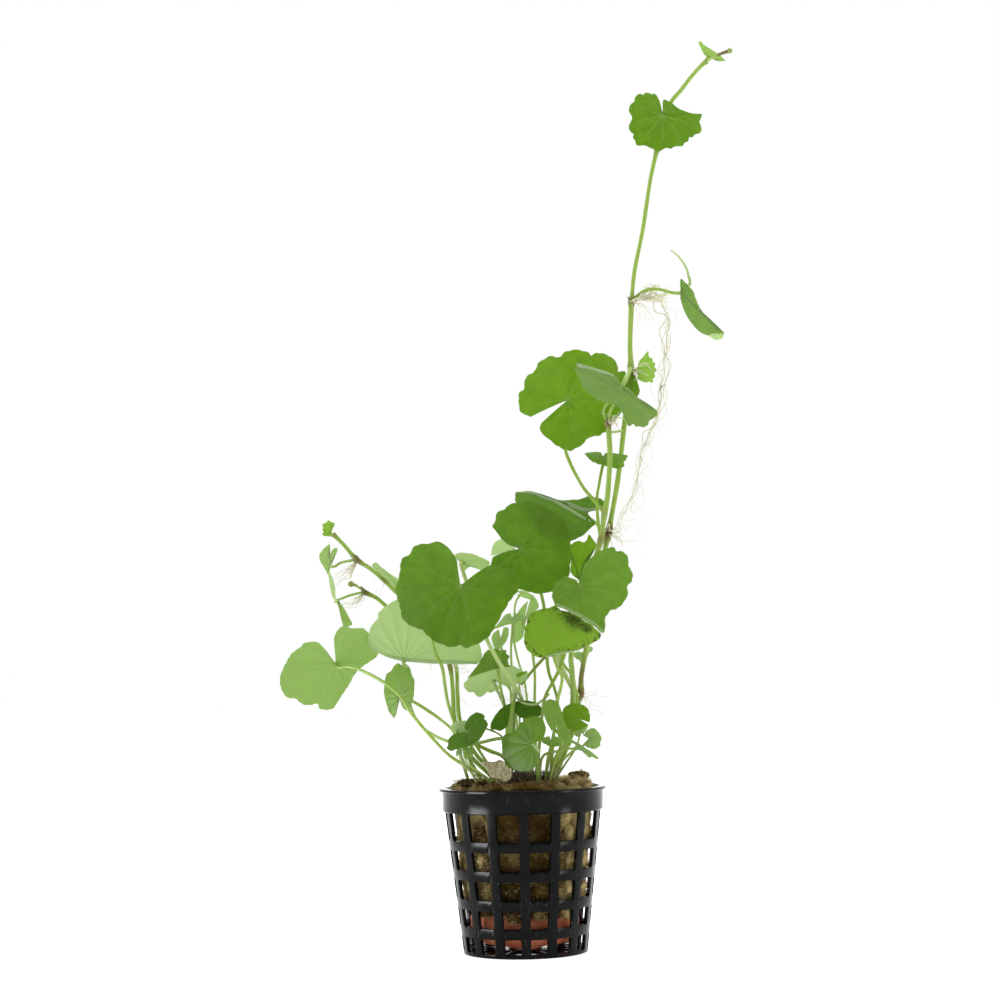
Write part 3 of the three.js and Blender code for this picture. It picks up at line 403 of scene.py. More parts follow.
def makeWoolMaterial():
    material, tree = newMaterial("rockwoolFibre")
    place = objectPlace(tree)
    strands = noise(tree, scaled(tree, place, 1800, 1800, 420), 1.0, 4.0, 0.7)
    crossed = noise(tree, scaled(tree, place, 480, 480, 2000), 1.0, 4.0, 0.7)
    fibres = calc(tree, "MAXIMUM", strands, crossed)
    blotches = noise(tree, place, 130.0, 4.0, 0.6)
    level = plus(tree, times(tree, fibres, 0.6), times(tree, blotches, 0.55))
    level = plus(tree, level, swing(tree, splitOf(tree, "tone")[0], 0.8))
    # Painted light: the plug is made lighter towards its left and right sides and stays darker across the
    # front middle, as its sides are lit and the front lies in shade
    across = put(tree, "ShaderNodeSeparateXYZ", Vector=place).outputs[0]
    level = plus(tree, level, ramp(tree, across, 0.008, 0.016, 0.0, 0.34))
    level = plus(tree, level, ramp(tree, across, -0.016, -0.008, 0.16, 0.0))
    colour = mixColour(tree, ramp(tree, level, 0.36, 0.62), (0.011, 0.006, 0.0015), (0.055, 0.033, 0.008))
    colour = mixColour(tree, ramp(tree, level, 0.58, 0.95), colour, (0.46, 0.36, 0.16))
    return finishMaterial(material, tree, colour, 0.95, (fibres, 0.6, 0.9), 0.02)


def makeClayMaterial():
    material, tree = newMaterial("firedClay")
    place = objectPlace(tree)
    broad = noise(tree, place, 160.0, 3.0, 0.6)
    grain = noise(tree, place, 1500.0, 3.0, 0.7)
    pits = ramp(tree, noise(tree, place, 420.0, 2.0), 0.62, 0.75, 0.0, 0.5)
    colour = mixColour(tree, ramp(tree, broad, 0.35, 0.65), (0.33, 0.075, 0.03), (0.5, 0.15, 0.07))
    colour = mixColour(tree, ramp(tree, grain, 0.55, 0.8, 0.0, 0.5), colour, (0.62, 0.3, 0.2))
    colour = mixColour(tree, pits, colour, (0.2, 0.07, 0.035))
    return finishMaterial(material, tree, colour, 0.88, (grain, 0.25, 0.8), 0.2)


def makePotMaterial():
    material, tree = newMaterial("blackPlastic")
    place = objectPlace(tree)
    cloud = noise(tree, place, 90.0, 3.0, 0.6)
    scratch = noise(tree, scaled(tree, place, 2600, 2600, 160), 1.0, 3.0, 0.6)
    scuffs = times(tree, ramp(tree, scratch, 0.58, 0.72), ramp(tree, cloud, 0.46, 0.62))
    dust = ramp(tree, noise(tree, place, 2400.0, 1.0), 0.76, 0.81)
    low = ramp(tree, put(tree, "ShaderNodeSeparateXYZ", Vector=place).outputs[2], 0.008, 0.024, 1.0, 0.25)
    worn = ramp(tree, cloud, 0.35, 0.7, 0.0, 0.5)
    colour = mixColour(tree, worn, (0.0016, 0.0018, 0.002), (0.0048, 0.0052, 0.0057))
    colour = mixColour(tree, times(tree, scuffs, times(tree, low, 0.6)), colour, (0.1, 0.102, 0.105))
    colour = mixColour(tree, times(tree, dust, 0.6), colour, (0.3, 0.29, 0.26))
    roughness = plus(tree, ramp(tree, cloud, 0.3, 0.7, 0.13, 0.24), times(tree, scuffs, 0.2))
    height = plus(tree, times(tree, scratch, 0.2), times(tree, cloud, 0.8))
    return finishMaterial(material, tree, colour, roughness, (height, 0.08, 0.5), 0.07)


def makeCrownMaterial():
    material, tree = newMaterial("darkCrown")
    strands = noise(tree, scaled(tree, objectPlace(tree), 1500, 1500, 300), 1.0, 4.0, 0.65)
    colour = mixColour(tree, ramp(tree, strands, 0.35, 0.7), (0.018, 0.012, 0.006), (0.16, 0.11, 0.05))
    return finishMaterial(material, tree, colour, 0.8, (strands, 0.4, 0.8), 0.25)


leafUpper = makeLeafMaterial("leafUpperSide", False)
leafUnder = makeLeafMaterial("leafUnderside", True)
greenStem = makeStemMaterial()
paleRoot = makeRootMaterial()
driedLeaf = makeDeadLeafMaterial()
rockwoolFibre = makeWoolMaterial()
firedClay = makeClayMaterial()
blackPlastic = makePotMaterial()
darkCrown = makeCrownMaterial()
print("materials made")

# The leaves, by node. at: the joint of blade and stalk as seen, with its depth.
# faces: the way the upper side looks, right of the viewer and raised. notch: the way the cleft opens.
# rim: seen points round the blade from one lip of the cleft to the other.
# tooth: pitch and depth of its teeth. stout: how thick the stalk is for its leaf.
# curls: rolled margins, from a row of seen points on the rim to the row that it reaches; their paleness is
# partly painted sheen.
# stains: dark spots by seen point, reach and strength, some of them painted shade where another leaf lies
# over the blade. veins: how clearly they show.
# root: a spot on the rockwool.
leafShapes = {
    "leaf_top": dict(
        at=(662.4, 116, -5), radius=10.9, faces=(8, 15), notch=97, cup=-0.06, tone=(0.45, 0), veins=0.9,
        tooth=(1.9, 0.07), foot=(656.6, 151, 4),
        rim=("660.5,106 659,100 657,96 654.5,93.5 651,94 650,93 645,93 643,95 639.5,94 636,96 "
             "634.5,98.5 634,102 631.5,103.5 629.3,107 628.8,111 630.5,114.5 632,118 631,121 629,125 "
             "629,129 631,132 633.5,134 633,138 635,140 636,144.5 639.5,146 644,145.5 647,146.5 "
             "650,148 653,149 656,151 658.5,152 663,149.5 667,148 671,149 674,147 678,146.5 682.5,146 "
             "685,142.5 688.5,141 689,137.5 693,137 695,134.5 700,133 701.5,129.5 700.5,125 699.5,122 "
             "701,118 702,114.3 697,114 691,113.2 685,111.3 680,109.3 675,106 672,102.5 668,101 "
             "663.7,99.5 662.8,103"),
        stalk="660,130,-1",
    ),
    "leaf_tip_young": dict(
        at=(708, 57.5, -1), radius=4.6, faces=(20, 15), notch=225, cup=0.15, tone=(1, 0.4),
        tooth=(1.2, 0.06), foot=(707, 61, 0),
        rim=("704,54.3 702.3,51 700.4,47.5 699,44.5 698.5,41.8 700.8,41.5 703,44 707,46.7 711,49.2 "
             "714.5,51.5 717.5,53.2 720.3,52.7 721,56 723.5,58.5 726,60.8 722.5,60.6 720.2,61.4 717,60"),
        stalk="",
    ),
    "leaf_hanging": dict(
        at=(680.6, 293, 4), radius=10, faces=(30, -8), notch=180, cup=-0.03, tone=(0.35, 0.25),
        tooth=(2.6, 0.2), foot=(631.5, 301, 8),
        rim=("680.3,286 680.8,278.7 684,281 688.5,285.5 692.5,290 695.5,297 698.5,305.5 703,313 "
             "707.5,320 713,325.5 717.5,330 724.3,333.2 719,334 713,333.8 707.5,335.5 701,332.8 "
             "696,328.5 691,322.5 687.5,317 684,310 681.5,303 680.2,298"),
        curls=[
            dict(edge="708,335 714,333.8 723.8,333.3",
                 free="710.5,337.5 716,340 722,338.5", tone=(0.6, 0.9)),
        ],
        stalk="671,292.5,6 657,289,7 645,290.6,8",
    ),
    "leaf_upper_large": dict(
        at=(567.6, 400, -5), radius=15.4, faces=(-6, 12), notch=216, cup=-0.05, wave=0.04, tone=(0.55, 0),
        tooth=(3.2, 0.32), foot=(604.6, 513, -10),
        rim=("530.6,416.5 520.4,411.6 519,406.5 519,393.8 523.6,389.3 525.5,377.2 534.4,370.2 "
             "538.3,361.9 549.7,356.1 560,357.4 563.8,353 575.3,350.2 588,351.7 591,354.6 596,352 "
             "608.4,354.2 617.3,363.2 618.6,371 624,380 624,396 622,410 612,424.4 600.8,435.9 590,438 "
             "584.2,442.9 580,446 570.2,450.5 561.2,448 553.6,443.5 540.2,430.8 541,424"),
        stalk="566,430,-1 565,448,-1 571,465,-2 576.6,476,-4 584,488.5,-6 592,498,-8",
    ),
    "leaf_upper_front": dict(
        at=(620.3, 388.7, -16), radius=14.2, faces=(35, 40), notch=56, cup=-0.12, tone=(0.4, 0.25),
        tooth=(2.2, 0.12), foot=(630.6, 368, 6), stout=1.4,
        rim=("625,387 629,388.5 635,396 640,401 645,407 650,409.5 656,410.5 657.3,415 653,418.5 "
             "649,421.5 648,425 643,427.3 638.5,426.5 636,427 633,424 630,426.3 627,424 626,420 "
             "624,415.5 620,408.5 614,405 606,403 598,400 591,394.5 585,390 582,386 580,378 576,371 "
             "575,367.5 577.5,363.5 586,366.2 597,369.5 606,372 614,375.5 620,382"),
        curls=[
            # This curl's paleness partly paints the sheen along the rolled top edge
            dict(edge="576.5,364 586,366.2 597,369.5 606,372 614,375.5",
                 free="577.5,367.5 586.5,369.8 597,372.6 605,374.8 612.5,377", tone=(0.5, 0.95)),
        ],
        stalk="623.5,383,-12 627.5,375.5,-5",
    ),
    "leaf_upper_back": dict(
        at=(629, 386, 3), radius=5.6, faces=(15, 20), notch=90, tone=(0.5, 0), tooth=(2, 0.12),
        foot=(630.6, 368, 6),
        rim=("632,373 636,377 638,384 640,391 638,396 636,400 628,402 619,400 614,393 613,384 616,376 "
             "619,371.5 625,371.3"),
        stalk="631,380,6.5",
    ),
    "leaf_young_fan": dict(
        at=(637, 370, 4), radius=5, faces=(20, 25), notch=190, cup=0.1, tone=(1, 0.25), tooth=(1.2, 0.12),
        foot=(630.6, 368, 6),
        rim=("639,361 643,357 646,353 648.7,350.8 648.6,355.5 650,357.8 653,358.7 652.5,361.5 "
             "655.5,363.3 654.7,366.5 656.8,370.5 654.3,373 655.3,376.5 653,379 652.8,382.8 "
             "649.5,381.8 645.5,382.5 641.5,381 637.5,379"),
        stalk="",
    ),
    "leaf_edge_on": dict(
        at=(603, 457, -1.8), radius=6.6, faces=(0, 58), notch=80, cup=-0.1, tone=(0.5, 0),
        tooth=(2.2, 0.25), foot=(600.8, 539.5, -10),
        rim=("606,453 614,453.2 621,454.5 627.3,455.3 626.5,459.5 624,462 624.5,466 619,468.7 613,468 "
             "606,466.5 599,464.5 593,462 588.5,458.5 585,453 592,452.2 600,452"),
        stalk="600.5,476,-3 599,485,-4 597,497,-5 598,520,-7",
    ),
    "leaf_middle_left": dict(
        at=(520.8, 549, -12), radius=15.2, faces=(-10, 14), notch=168, cup=-0.08, tone=(0.3, 0),
        tooth=(3.2, 0.2), root=(7, -4),
        rim=("514,546.5 505,543 499,535.5 495.5,530.5 492,525.7 494.5,522.5 495.5,518 496,515 "
             "498,511.5 504.5,509.5 507,506 512,503.5 516,503 522,502 530,500.5 538,503 548,508.5 "
             "559,515.5 566,522 571,531.5 570.5,541 571,549 572,557 570.5,564 570,572 567,580 561,587 "
             "554,591 547,592.7 540,594 533,593 524,590.5 514,587 504,581 496,573 491,566.5 492,561 "
             "492.5,558 500,553.7 507,552 514,551"),
        curls=[
            dict(edge="515.5,548 508,544.5 502,539.8 496,541.5 492.5,547",
                 free="515.5,549.6 507,551.5 500,553.5 494,555.3 491,555.8", tone=(0.6, 0.7)),
        ],
        stalk="536,578,-6 544,607,-2 546,640,-1 548.7,672,-3 554,687,-5 557.6,703,-4",
    ),
    "leaf_middle_back": dict(
        at=(586, 513, -4.5), radius=13.8, faces=(8, 35), notch=-30, cup=-0.08, tone=(0.25, 0.05),
        foot=(608.5, 532.5, 3),
        rim=("604,508 605.5,504.5 602.5,500.5 599,498 594,497.5 588,496.2 582,498.7 572,499.5 "
             "562,500.3 555,499.5 545,496.5 538,494 531,491.5 523,492.3 516,492.4 515,497 515.5,502 "
             "520,506 525,514.5 530,524 537,532 545,537 551,541.5 558,543.3 565,542.5 571,541 578,538 "
             "584.5,534.5 590,528.5 595,524.3 592,520"),
        curls=[
            # The first curl, at full paleness, also paints the whitish sheen along the fold at the blade's
            # top edge
            dict(edge="516.5,492.5 531,491.6 545,496.6 556,500 567,506.5 579,514 592,521.5",
                 free="517,493.2 530.5,494.8 544,500 555,503.6 565.5,510 577.5,516.5 590,523",
                 tone=(0.5, 1)),
            dict(edge="560,500.8 572,503.5 583,507.5 594,508 604,505.5",
                 free="563,504 573,508.5 583,511.8 593,511.5 603.5,508.3", tone=(0.5, 0.6)),
        ],
        stalk="592,520,-1 600,527,2",
    ),
    "leaf_middle_folded": dict(
        at=(579.5, 579, -5), radius=6, faces=(-15, 10), notch=270, tone=(0.9, 0.1), root=(10.5, 1),
        folds=[dict(toward=-8, start=0.3, by=18, over=0.8)],
        rim=("576,578 573,575.5 570.3,571.5 570.5,565 571.8,557 570.5,551 568.7,546.3 573,543 "
             "579,540.7 584,542.3 587.5,539 589,534.5 594,540 598.5,546.5 595,550.5 590,555 "
             "585.5,560.5 583,567 581,575"),
        stalk="576,590,-3 566,630,-1 562,660,-1 573,677,-0.5 575.5,688.5,0.5 577,699,1.5 570,740,1.5",
    ),
    "leaf_middle_right": dict(
        at=(579.5, 586.5, -22), radius=16, faces=(4, 18), notch=97, cup=-0.06, tone=(0.45, 0.08),
        tooth=(2.8, 0.22), root=(4.5, -8),
        rim=("580.8,578 582.5,570.5 585,563.5 592,557 598.5,551.5 603,549.8 608,548.2 612,546.5 "
             "615,548 616,550.8 621,551 626,553.8 628.8,560 628.5,565.5 631.5,569.5 633,575.5 "
             "631.5,582 627,587 628.5,592 626,599 622,605 616.5,609 610,611 608,614.5 605,620 "
             "605.5,627 603,633.3 595,627 585,620.7 575,614.5 565,609.5 556,606 552.5,600 552,592 "
             "553.5,585.5 557,581 561.5,579 565,575.8 569,577.2 573,578.5 576.5,580.5"),
        curls=[
            dict(edge="555,605.5 564,609.3 575,614.7 585,620.8 595,627.2 603,633.5",
                 free="556,603.3 565,606.3 576,611.5 586,617 596,623.7 604,631", tone=(0.8, 0.25)),
        ],
        stalk="578,597,-6.5 573,622,-5.5 566,650,-6 557.6,673,-7.5 550.6,686,-8 545,697,-8",
    ),
    "leaf_yellowish": dict(
        at=(558, 610, -11.7), radius=11.4, faces=(8, 20), notch=60, cup=-0.08, tone=(1, 0.1), spots=0.8,
        tooth=(3, 0.15), root=(8.5, -5.5),
        rim=("556,604.8 549.5,607.5 542,609.3 536,611 531,614 528,617.5 527,621 526,625 524.5,630 "
             "524,638 524.3,644 526.5,649 530,653 536,657 541,657.5 550,656.7 560,654.5 568,652.5 "
             "575,651.2 583,648.3 590,644.5 597,641 600.3,638 600.7,634 597,630 588,623 578,617 "
             "570,612.5"),
        curls=[
            dict(edge="545,657.3 553,656 561,654.5 570,652.8 578,650.8 585,647.5",
                 free="545.5,656 553,654.2 561,652.2 570,650.8 578,649.5 585,646.5", tone=(0.6, 1)),
        ],
        # The dark spots along the top edge, under the fold of leaf_middle_right, are painted shade from that
        # leaf
        stainsAndShade="556,609,2.0,0.5 566,614,2.8,0.65 577,621,2.8,0.75 588,629,2.0,0.95 600,636,1.0,1.3 "
               "543,610,0.9,0.8 "
               "533,615,0.9,0.8 528,631,0.8,0.8 529,640,0.7,0.6 526.5,623,0.6,0.6 570,627,3.4,0.35",
        stalk="556,632,-9 553,652,-9.5 557.6,668,-10 562,677,-10 561,687,-10 557.6,700,-9.5",
    ),
    "leaf_small_grey": dict(
        at=(581, 653.5, 9), radius=3, faces=(20, 30), notch=90, tone=(0.5, 0.6), foot=(581.2, 678, 5),
        rim=("586,649 590,646.5 593,648 592,651 589,653 588,656.5 584,658.3 580,659.8 577,659.5 "
             "574.5,657 571,655 573,653 579,651.3"),
        stalk="583,665,7.5",
    ),
    "leaf_front_large": dict(
        at=(460.4, 586, -23), radius=18.4, faces=(-8, 20), notch=69, cup=-0.1, wave=0.03, tone=(0.35, 0),
        tooth=(3.4, 0.32), root=(-12.5, -8.5),
        rim=("457,561 452,552 444,544 436,541 430,543 420,543.5 414,546 410,554 402,560 399.5,575 "
             "395.5,591 399,605 403,620 416,629 422,631 428,637 437,643 453.5,647 459,644.6 465,648 "
             "474,646 487,639 494,630 504,611 512,598 519,589 519.5,581 510,570 502,568 491,565 "
             "483,569"),
        stalk=("446,612,-18 432,634,-15 435,652,-14 442,667,-13 445,686,-12 448,703,-11 453,719,-11 "
               "463,748,-11"),
    ),
    "leaf_pale_left": dict(
        at=(404, 661, -5), radius=17.2, faces=(175, 22), notch=270, cup=0.04, tone=(0.5, 0.7),
        tooth=(3, 0.15), root=(-1.5, -5),
        rim=("400,660.5 393,658.5 385,656 378,652.5 371,648 368,640 369,632 373,623 378,618 378,614 "
             "383,608 390,603 397,600 410,600 425,602 440,605 450,610 460,615 468,622 475,630 480,645 "
             "482,655 480,662 470,664 450,664 437,663.5 425,663 415,662 408,661.5"),
        curls=[
            dict(edge="385,656 398,660 415,662 437,663.5 465,663.5 478,664",
                 free="386,654.3 399,657.3 415,659 437,660.5 465,661 477.5,662.5", tone=(0.5, 1)),
        ],
        stalk=("409,669,-1.5 410,682,3 410,705,7 418,722,4 430,733,-2 447.5,741,-5.5 476,743,-7.5 "
               "505.6,740,-7"),
    ),
    "leaf_left_narrow": dict(
        at=(400, 697.5, -4.5), radius=8.2, faces=(-30, 4), notch=270, cup=-0.1, tone=(0.6, 0.25),
        tooth=(2.4, 0.12), root=(-16.5, -3),
        rim=("399,699 398,702 397,708 396,714.5 394,718 392,715.5 389.5,712.5 387.5,708 386,702 "
             "384.5,696 384,690 384.5,684 385.5,678 387,673.5 391,671 393,667.5 395.5,664.5 398.3,663 "
             "401,664.7 404,665.5 408,667 410.5,671 412,675 414.3,680 414.6,687 414,694 413,700 "
             "411.5,704.5 409.5,709 406,710.2 403,707.5 401.5,703"),
        stalk="414,702,2 437,717,2 453.6,732,-1 460,755,-5",
    ),
    "leaf_far_left": dict(
        at=(335.8, 664, -1), radius=15.4, faces=(192, 30), notch=107, cup=-0.05, wave=0.04,
        tone=(0.7, 0.25), tooth=(2.6, 0.2), root=(-10, -11.5),
        rim=("324,648 316,641 303.5,643 301,647 292,654 288,660 280,675 281,688 288,698 295,699 "
             "302,705 309,706 317,704 320,709 332,708 339,699 350,684 358,670 378,656 379,650 368,632 "
             "364,628 351,628 344,626 337,632 334,639"),
        stalk=("350,667,-5 367,673,-7 386,684,-9 400,696,-10 409,710,-10.5 420,724,-11 434,740,-11.5 "
               "450,756,-11.5 465.8,766,-11.5"),
    ),
    "leaf_dark_folded": dict(
        at=(467.5, 732, -17), radius=6.6, faces=(-15, 25), notch=165, tone=(0.15, 0), veins=0.9,
        tooth=(1.8, 0.15), root=(-7, -15.5),
        rim=("464.8,729.5 464.7,725.5 466.5,721 470,716.5 474,713.5 477,712 480,713.2 483,714 "
             "485,716.5 484.3,718.5 486.5,720.5 488,724 487,727.5 485,731 483,735 479.5,740 474,743.5 "
             "470,746 465,748 460,748.7 456,749.5 452,751 449,750.5 446.5,748 448,745 448,740.5 "
             "451,736.5 454,734.3 459,733.2 463,733.5"),
        stalk="474,742,-15.5 484,758,-15.5",
    ),
    "leaf_pale_small": dict(
        at=(458, 728, -14), radius=3, faces=(25, 20), notch=270, tone=(0.5, 1), root=(-13.8, -13.6),
        rim=("455,733 452,731 450,727.5 452,724 456,721.5 461,721 466,720.6 464.9,726 464.5,731.5 "
             "460.5,733"),
        stalk="459,745,-13.5 463,760,-14",
    ),
    "seedling_left": dict(
        at=(458.5, 754, -17), radius=1.8, faces=(-20, 15), notch=270, tone=(0.6, 0.8), root=(-12, -15.2),
        rim="456.5,757.5 455.8,753 457.5,749 461,748.3 462.3,752.5 461.5,757",
        stalk="462,764,-15",
    ),
    "seedling_right": dict(
        at=(467.5, 754, -18), radius=2.1, faces=(20, 20), notch=270, tone=(0.7, 0.3), root=(-9.8, -16.6),
        rim="465,760 463.3,755.5 463.3,748.3 467,747.5 472,748 474,751.5 472.5,756 469.5,759.7",
        stalk="466.5,762,-16.8",
    ),
    "leaf_dead": dict(
        at=(497, 777.5, -19), radius=4.2, faces=(5, 25), notch=256, wave=0.1, crumple=0.35, tone=(0.5, 0.5),
        root=(-7.2, -17.6),
        rim=("491,778 488.5,773.5 485.5,768.5 481.5,763.3 486,762.2 491,761.2 496,760.5 499,759.3 "
             "503,761.5 507,766 511,770.5 511.8,776 509,780.5 503,781.5"),
        stalk="",
    ),
    "leaf_low_round": dict(
        at=(532, 745, -20), radius=8.6, faces=(-28, 10), notch=-10, cup=-0.06, tone=(0.45, 0), veins=0.15,
        tooth=(2.2, 0.25), root=(4.5, -14.5),
        rim=("543,738.5 546,730 545,723 540.8,717.5 535,715.7 530,716.5 524.5,719.5 519.5,723.7 "
             "514.8,730 510,733 505.6,734 501.8,741 502,748 502.6,756.5 507,765.7 512,768 517.9,771 "
             "523,771.5 527,771.2 532,769.5 536.5,765 538.5,759 538.5,753"),
        curls=[
            dict(edge="532,744.5 535.5,749 539.5,753.5",
                 free="533.5,743.5 537.5,747 541.5,751", tone=(0.6, 0.6)),
        ],
        stalk="537,760,-16",
    ),
    # leaf_low_dark: its deep hue, tone 0.15, is partly painted shade, as the blade is seen edge-on in shadow
    "leaf_low_dark": dict(
        at=(514, 711, -7), radius=8, faces=(0, 35), notch=278, tone=(0.15, 0), root=(-1.5, -1),
        rim=("509,724 505,728 500,731 495,729.7 491,729.5 490.5,724.5 493,719 496.5,713.5 501,708.5 "
             "506,705 512,703 518,701 526,700.5 534,702 540,706 543,711 540,716 533,717.5 526,718.5 "
             "519,717.5"),
        stalk="514,740,-4.5 518,760,-3.5",
    ),
    "leaf_low_oblique": dict(
        at=(556, 722, -17.5), radius=7.2, faces=(35, 26), notch=262, tone=(0.75, 0.15), tooth=(2.4, 0.15),
        root=(8.2, -13.2),
        rim=("552,731 548,725 544.5,717 543,708 545,701.5 551,699.3 557,701.5 560.5,708.5 563,716 "
             "565.5,724 569,731 571.5,739 570,746.5 564,742 558,736.5"),
        stalk="562,740,-14.5 554,762,-12.5",
    ),
    "leaf_low_dark_round": dict(
        at=(579, 719, -10), radius=4.4, faces=(6, 10), notch=-25, tone=(0.6, 0), tooth=(2.2, 0.15),
        root=(6.4, -6.8),
        rim=("589.6,722.4 590.3,716.5 589,712.5 588.5,709 585,706 580,703.7 575,703 570,703.8 566,706 "
             "562.5,710 562,718 565,725 570,730 575,731.5 580,729.8 584.5,727.5 588.3,724.6"),
        stalk="570,742,-8 560,762,-7",
    ),
    "leaf_low_right_pale": dict(
        at=(590, 739, -9), radius=3.6, faces=(26, 22), notch=185, tone=(0.6, 0.4), tooth=(2, 0.2),
        root=(8.8, -8.5),
        rim=("583,735.5 586,731 590,728.5 594,728 598,731 600,734.5 602.3,738.5 600.7,741.5 600.3,746 "
             "597.5,748 593.5,749.6 590,748 586.5,747.5 583.5,743"),
        stalk="583,746,-8.5 573,751,-9 560,764,-9",
    ),
    "leaf_low_right_folded": dict(
        at=(577, 745, -17), radius=5, faces=(8, 40), notch=180, tone=(0.5, 0.5), root=(5.2, -12.2),
        rim=("569.5,742 568.5,737.5 574,741 580,744 585.5,748 590.5,751 595,754.5 599,758.5 596,759.2 "
             "592.5,756.7 589.5,757.8 586,755 582,751 577,750 572.5,748.3"),
        stalk="571,748.5,-15.5 556,751.5,-14 543,756,-12.5",
    ),
    "leaf_low_yellow": dict(
        at=(551, 741, -11.5), radius=3.1, faces=(0, 35), notch=90, tone=(1, 0.3), root=(6.8, -11.5),
        rim=("553,736.3 558,737 562.3,741 561,745 556,746.7 551,747.2 546,744.7 541.8,742 541,739 "
             "545,737 549.5,736"),
        stalk="548,756,-10.5",
    ),
    "leaf_low_back_pale": dict(
        at=(581.5, 731, -3), radius=2.2, faces=(10, 25), notch=283, tone=(0.6, 0.6), root=(10.5, -2.5),
        rim=("583,735 585,732 587,729 588.3,724.4 585,725.5 580,728 575,731 574,734.5 578,737 "
             "580.5,736"),
        stalk="576,748,-2.5 566,763,-2.5",
    ),
    "leaf_slim_grey": dict(
        at=(512, 619, 10), radius=4.6, faces=(-6, 40), notch=85, tone=(0.4, 0.6), root=(1, 11),
        rim=("514,613.2 520,614 525.8,616.7 522,620 517,622.5 511,624 505,625.3 499,627.6 494.5,628.8 "
             "497,624.5 500.5,620.5 503.5,616.7 506.5,614 511,613.2"),
        stalk="511,650,15 513,684,14.5 518,730,12.5",
    ),
    "leaf_back_high": dict(
        at=(524, 621, 14), radius=6, faces=(170, 20), notch=76, tone=(0.6, 0.6), root=(4.5, 7),
        rim=("531,597 534.5,597.3 538,602.5 538.7,607.5 534,611.5 530,615 527,619.5 525,625 523.7,631 "
             "523,637 518.5,641.3 512.5,643.5 511,636 512.5,627 515,618 518.5,611 524,604.5 "
             "528.3,600.2"),
        stalk="530,640,13 534.7,672,10 534.7,700,8",
    ),
    "leaf_back_upright": dict(
        at=(521, 593.5, 12), radius=3.4, faces=(170, 15), notch=175, tone=(0.6, 0.8), root=(3.5, 13.5),
        rim=("516.5,591.3 520,590.4 524,590.6 530,593.3 534.5,596.5 530,599.5 525.5,598.3 520.5,596.5 "
             "515.5,595"),
        stalk="515.5,603,12.5 514.5,612,12.9 514,640,12.9 518,660,12 524,680,10.5 527,700,10",
    ),
    "leaf_back_small": dict(
        at=(500.5, 639, 3), radius=3.4, faces=(18, 12), notch=87, tone=(0.5, 0.7), root=(-3, 12.5),
        rim=("503.5,627.6 508,627.5 508.7,634 507,640 504,644.5 499,649.5 495,648.5 492.5,643 "
             "491.5,637.5 494,632.5 499,629.3"),
        stalk="508,665,10 511,700,13",
    ),
    "leaf_mid_dark": dict(
        at=(497, 668.5, -12), radius=7, faces=(-10, 30), notch=283, tone=(0.5, 0.1), tooth=(1.8, 0.1),
        root=(-4, 2.5),
        rim=("467.5,678 471,673.5 475,668.5 479,663 482.5,657 484.5,653.5 489,649.3 495,648.3 "
             "501,650.2 506.8,650.3 505.8,652.5 509.8,656.7 507.5,660.5 508,664.7 512,666.5"),
        stalk="501,690,-8 505,708,-1",
    ),
    "leaf_mid_pale": dict(
        at=(494, 681, -2), radius=9.8, faces=(176, 30), notch=324, cup=0.04, tone=(0.2, 1), root=(-5, 7),
        rim=("501,689 495,691 490,692.7 487.5,691.7 484.5,694.5 480,697 476,695.5 473.5,692.5 "
             "469.5,692.5 466,690 463.5,684.5 467,680 470.5,676 477,673 484,669.5 491,668 498,667.3 "
             "506,666 513,665.5 519,668.5 523,671.5 527,671.7 527.5,677 524,681 516,684.5 507.5,687"),
        stalk="498,692,-3 506,714,3.5",
    ),
    "leaf_mid_tiny": dict(
        at=(520, 675.5, -8.5), radius=1.9, faces=(10, 25), notch=222, tone=(1, 0), root=(1.5, 1.5),
        rim="516.2,677.5 516.5,674 520,672.5 524,671.5 527.3,671 526,673.3 522,675.3 519,677",
        stalk="520,695,-1 520,730,0",
    ),
    "leaf_behind_large": dict(
        at=(462, 563, 0), radius=4, faces=(172, 15), notch=180, tone=(0.5, 1), root=(2.5, 4), stout=1.7,
        rim=("458,560 455,557.5 453,556 457,553.5 461,552.5 467,553 473,554 479,556.5 485,559 "
             "490,562.5 487,567 483,570 478,569 472,566.5 468,568 464,571 460,568"),
        stalk="473,600,-4 487,640,-18 500,664,-15.5 509,677,-12 517,690,-8 522,700,-3 526,730,2",
    ),
    "leaf_behind_left": dict(
        at=(398.5, 586, 14), radius=5, faces=(160, 20), notch=-6, tone=(0.5, 0.8), root=(-1, 16.5),
        rim=("399,579 391,574.5 385,570 380,566.3 375.5,562.3 372,565.5 377,571 382,576 387,581.5 "
             "392,587.5 397.5,593"),
        stalk="420,620,17 460,650,14 497,669,13 507,684.6,15 514,700,16",
    ),
    "leaf_shoot_young": dict(
        at=(330.8, 533.3, 3.8), radius=2.4, faces=(-10, 20), notch=0, tone=(0.9, 0.1), tooth=(0.9, 0.08),
        foot=(333, 534, 6),
        rim=("330.5,530 332.5,527.5 334.7,523.8 331,521.8 327.8,520.3 326.5,522.3 324,523.3 322,525 "
             "323.3,527.3 322,529.7 323.7,531.7 322,534 324,536 328,536.2 331.5,537"),
        stalk="",
    ),
    "leaf_shoot_folded": dict(
        at=(330.5, 566, 5), radius=5.2, faces=(-30, 6), notch=-10, tone=(0.6, 0.5), foot=(356.8, 559.6, 8),
        rim=("329.3,573 328,574.5 325.5,570 322.5,565 319.8,560 319.5,554.5 322,550.5 326,546.7 "
             "329.5,544 329.3,549 328.3,553.5 330,554 332,550.5 334.5,548.2 337.3,548.2 337,552 "
             "334.5,556.5 331.8,560.5 331.3,563"),
        curls=[
            dict(edge="328,572 329.5,580 330.5,588 333,597 336.5,602",
